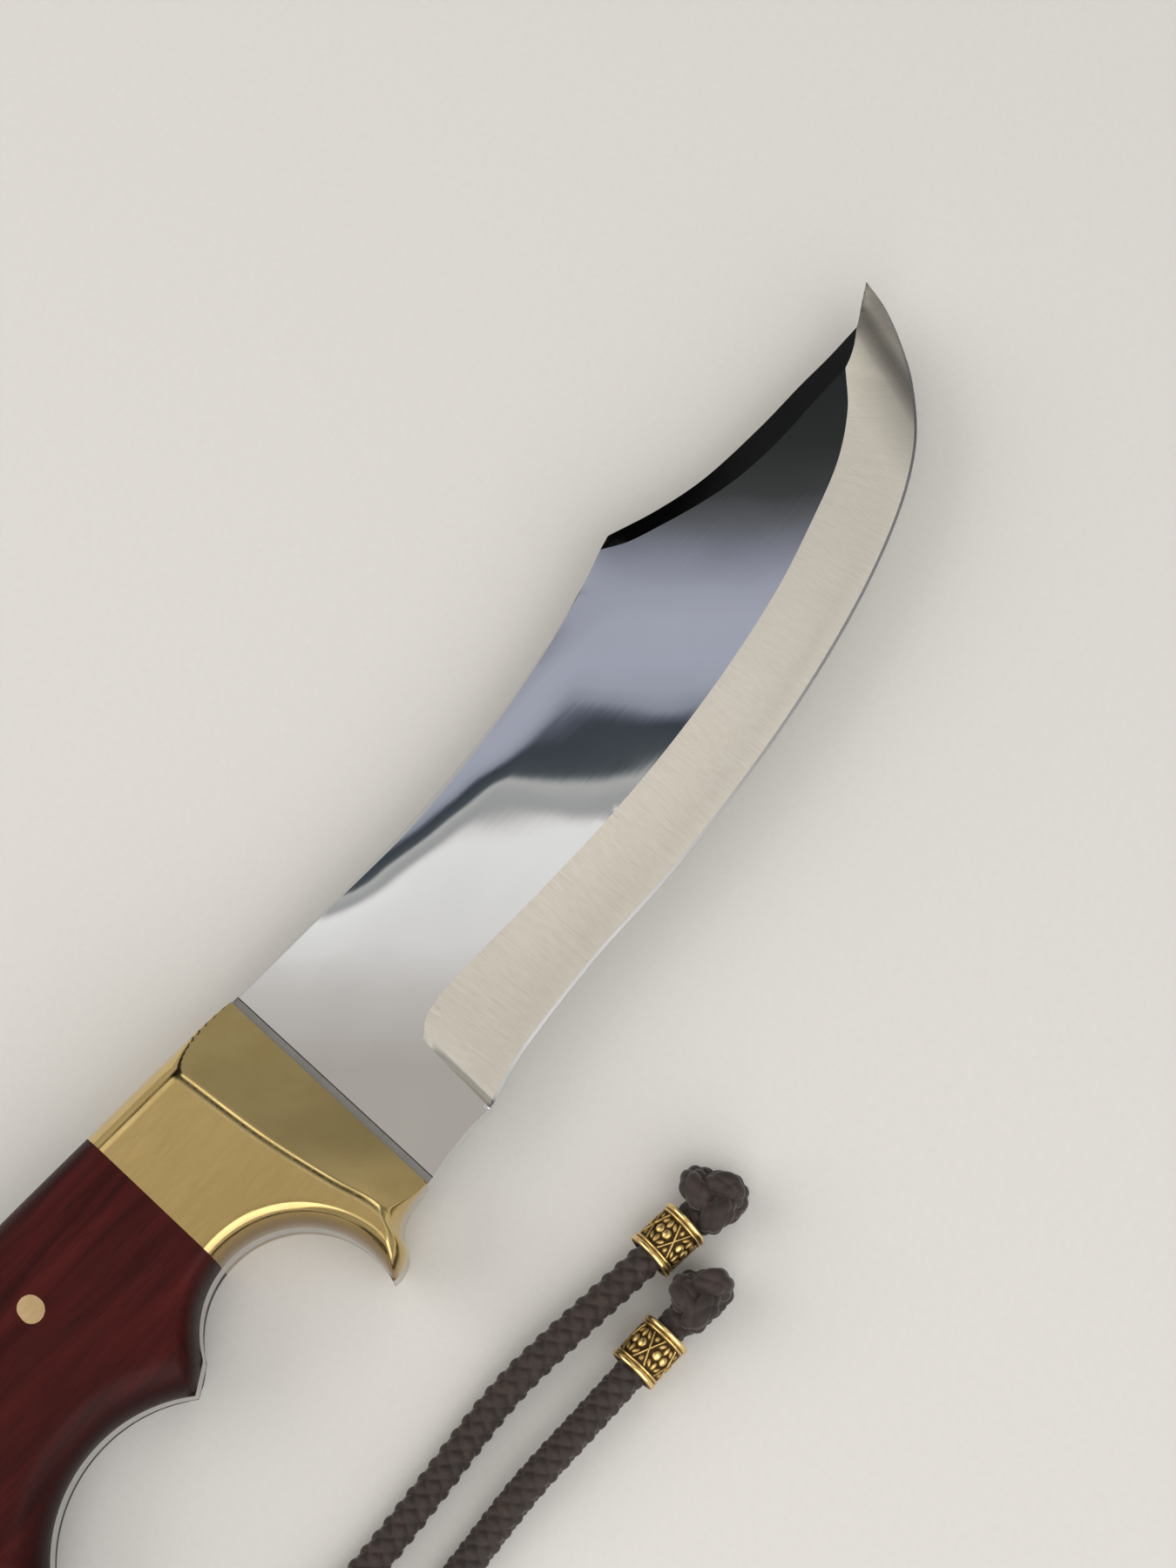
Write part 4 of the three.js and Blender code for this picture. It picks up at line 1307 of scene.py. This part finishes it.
def cord_material(name):
    """Dark brown braided cord: bundles of fine fibres in a mottled tone."""
    n = Material(name)
    fibre = n.noise(n.coords(), 2600.0, 3.0, 0.7)
    tone = n.noise(n.coords(), 420.0, 2.0)
    both = n.math("ADD", n.math("MULTIPLY", fibre, 0.6), n.math("MULTIPLY", tone, 0.4))
    n.set(
        Base_Color=n.ramp(both, [
            (0.3, (0.007, 0.0038, 0.003)), (0.5, (0.019, 0.010, 0.0075)), (0.7, (0.045, 0.024, 0.018)),
        ]),
        Roughness=n.remap(fibre, 0.3, 0.7, 0.62, 0.82),
        Sheen_Weight=0.25,
        Sheen_Roughness=0.4,
    )
    n.bumps((fibre, 0.5, 0.00008))
    return n.material


# ---- The lanyard: two legs of braided cord, as routed in part.mjs ----
CORD_RADIUS = 2.45
CROWN_HEIGHT = 0.12  # how far the strands' crowns stand over that radius
BRAID_RELIEF, KNOT_RELIEF = 0.62, 0.6  # depth of the valleys under the crowns
STRAND_PITCH = 2.6  # along the cord, from one bump of the braid to the next but one
PLAITS = 4  # chevrons round the cord
LEGS = {  # bead and knot are places in x and y; the route is in mm from the lanyard hole and over the floor
    "upper": {
        "length": 0.2425,
        "bead": (4.7, -59.6),
        "bead_spin": 0.35,
        "knot": (15.3, -59.7),
        "knot_half": (5.0, 4.8),
        "route": [
            (0, 0.12, 9.7), (0, 1.31, 11.76), (0, 2.86, 13.72), (-0.05, 4.8, 15.29), (-0.13, 7.04, 16.39),
            (-0.53, 9.39, 17.11), (-1.4, 11.7, 17.49), (-2.73, 13.8, 17.62), (-4.47, 15.58, 17.59),
            (-6.55, 16.96, 17.39), (-8.83, 17.88, 17), (-11.22, 18.33, 16.41), (-13.59, 18.31, 15.63),
            (-15.84, 17.86, 14.65), (-17.88, 17.04, 13.46), (-21.19, 14.62, 10.63), (-23.44, 11.61, 7.35),
            (-24.9, 8.1, 4.7), (-25.8, 4, 3.15), (-26.2, -1, 2.62), (-26, -8, 2.55), (-24.6, -17, 2.55),
            (-21, -27.5, 2.55), (-14.8, -38, 2.55), (-6, -47.6, 2.55), (5, -55, 2.55), (18, -60, 2.55),
            (33, -62.6, 2.55), (48, -63.3, 2.55), (62, -63.1, 2.55), (76, -62.3, 2.55), (84, -61.7, 3),
            (91, -61.4, 3.9), (103, -61.5, 4), (116, -61.6, 4), (121.3, -61.65, 4),
        ],
    },
    "lower": {
        "length": 0.1706,
        "bead": (18.7, -50.6),
        "bead_spin": 0.0,
        "knot": (27.6, -51.4),
        "knot_half": (4.5, 6.0),
        "route": [
            (0, -0.12, 9.3), (0, -1.04, 7.7), (0, -2.68, 5.58), (0, -4.81, 3.94), (0, -7.29, 2.91),
            (0, -9.96, 2.56), (0.15, -13.5, 2.55), (1.2, -19, 2.55), (4, -27.6, 2.55), (9.4, -36.4, 2.55),
            (18, -44, 2.55), (29, -49.2, 2.55), (42, -51.8, 2.55), (55, -52.3, 2.55), (67, -52.2, 2.55),
            (79, -51.4, 2.55), (90, -50.4, 2.55), (97.5, -50, 3), (104.5, -50.3, 3.9), (117, -51.4, 4),
            (130, -52.6, 4), (134.1, -52.97, 4),
        ],
    },
}


def leg_path(route, step):
    """The route in the knife's frame, heights over the middle plane, at even steps."""
    points = np.asarray(route, dtype=float) + (HOLE[0], HOLE[1], -HANDLE_HALF)
    return evenly(spline(points, 24), step)


def frames_along(path):
    """Two directions across the path at each point, with no twist from one point to the next."""
    onward = np.gradient(path, axis=0)
    onward /= np.linalg.norm(onward, axis=1)[:, None]
    across = np.zeros_like(path)
    start = np.cross(onward[0], (0.3, 0.1, 1.0))
    across[0] = start / np.linalg.norm(start)
    for i in range(1, len(path)):
        kept = across[i - 1] - onward[i] * np.dot(across[i - 1], onward[i])
        across[i] = kept / np.linalg.norm(kept)
    return across, np.cross(onward, across)


def braid_relief(distance, angle):
    """Height of a round braid's surface, from 0 in its valleys to 1 on the strands' crowns."""
    turn = angle / (2 * math.pi) * PLAITS
    along = distance / STRAND_PITCH
    left, right_hand = along + turn, along - turn

    def strand(across, lengthwise):
        """One family of strands: round across, and dipping under every second strand of the other family."""
        ridge = 1 - np.abs(2 * (across % 1) - 1) ** 2.6
        over = np.cos(math.pi * (lengthwise - 0.5 + np.floor(across)))
        return ridge ** 0.8 * (0.5 + 0.5 * over)

    return np.maximum(strand(left, right_hand), strand(right_hand, left + 1))


def braid_points(path, across, other, distance, radius, sides, relief):
    """Points of a braid in rings around the path, and the height of its surface at each."""
    angle = np.linspace(0, 2 * math.pi, sides, endpoint=False)
    height = braid_relief(distance[:, None], angle[None, :])
    reach = radius - relief * (1 - height)
    points = (path[:, None] + across[:, None] * (np.cos(angle) * reach)[..., None]
              + other[:, None] * (np.sin(angle) * reach)[..., None])
    return points.reshape(-1, 3), height.ravel()


def make_cord(side):
    path = leg_path(LEGS[side]["route"], 0.2)
    onward = path[-1] - path[-2]
    path = np.vstack([path, path[-1] + onward * np.arange(1, 14)[:, None]])  # on into the knot
    sides = 56
    radius = CORD_RADIUS + CROWN_HEIGHT
    across, other = frames_along(path)
    points, height = braid_points(path, across, other, distance_along(path), radius, sides, BRAID_RELIEF)
    points = np.vstack([points, path[0], path[-1]])
    cord = make_object(f"braid_{side}", to_row(points), capped_faces(len(path), sides))
    face_outwards(cord)
    store(cord, "relief", np.concatenate([height, [0.3, 0.3]]))
    paint(cord, cord_material(f"cord_braid_{side}"))
    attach(cord, "root")
    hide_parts(f"lanyard_cord_{side}")
    return cord, to_row(evenly(path, 1.5))


# ---- The making: camera and cords first ----
make_camera()
bpy.context.scene.view_settings.view_transform = "Standard"
cords = {side: make_cord(side) for side in LEGS}
make_floor()
make_world()
make_lamp("key", (-1.15, 0.05, 0.75), 1.2, 11.0, (1.0, 0.97, 0.93))
make_lamp("fill", (0.45, -1.00, 0.90), 1.9, 21.0, (1.0, 0.985, 0.96))
for side, (cord, route) in cords.items():
    on_cord = [make_bead(side), make_knot(side)]

make_steel()
make_handle()
for pin_name, pin_place in PINS.items():
    make_pin(pin_name, pin_place)
dowel_brass = brass_material()
for dowel in ("bolster_pin_front", "bolster_pin_rear"):
    paint(bpy.data.objects[dowel], dowel_brass)
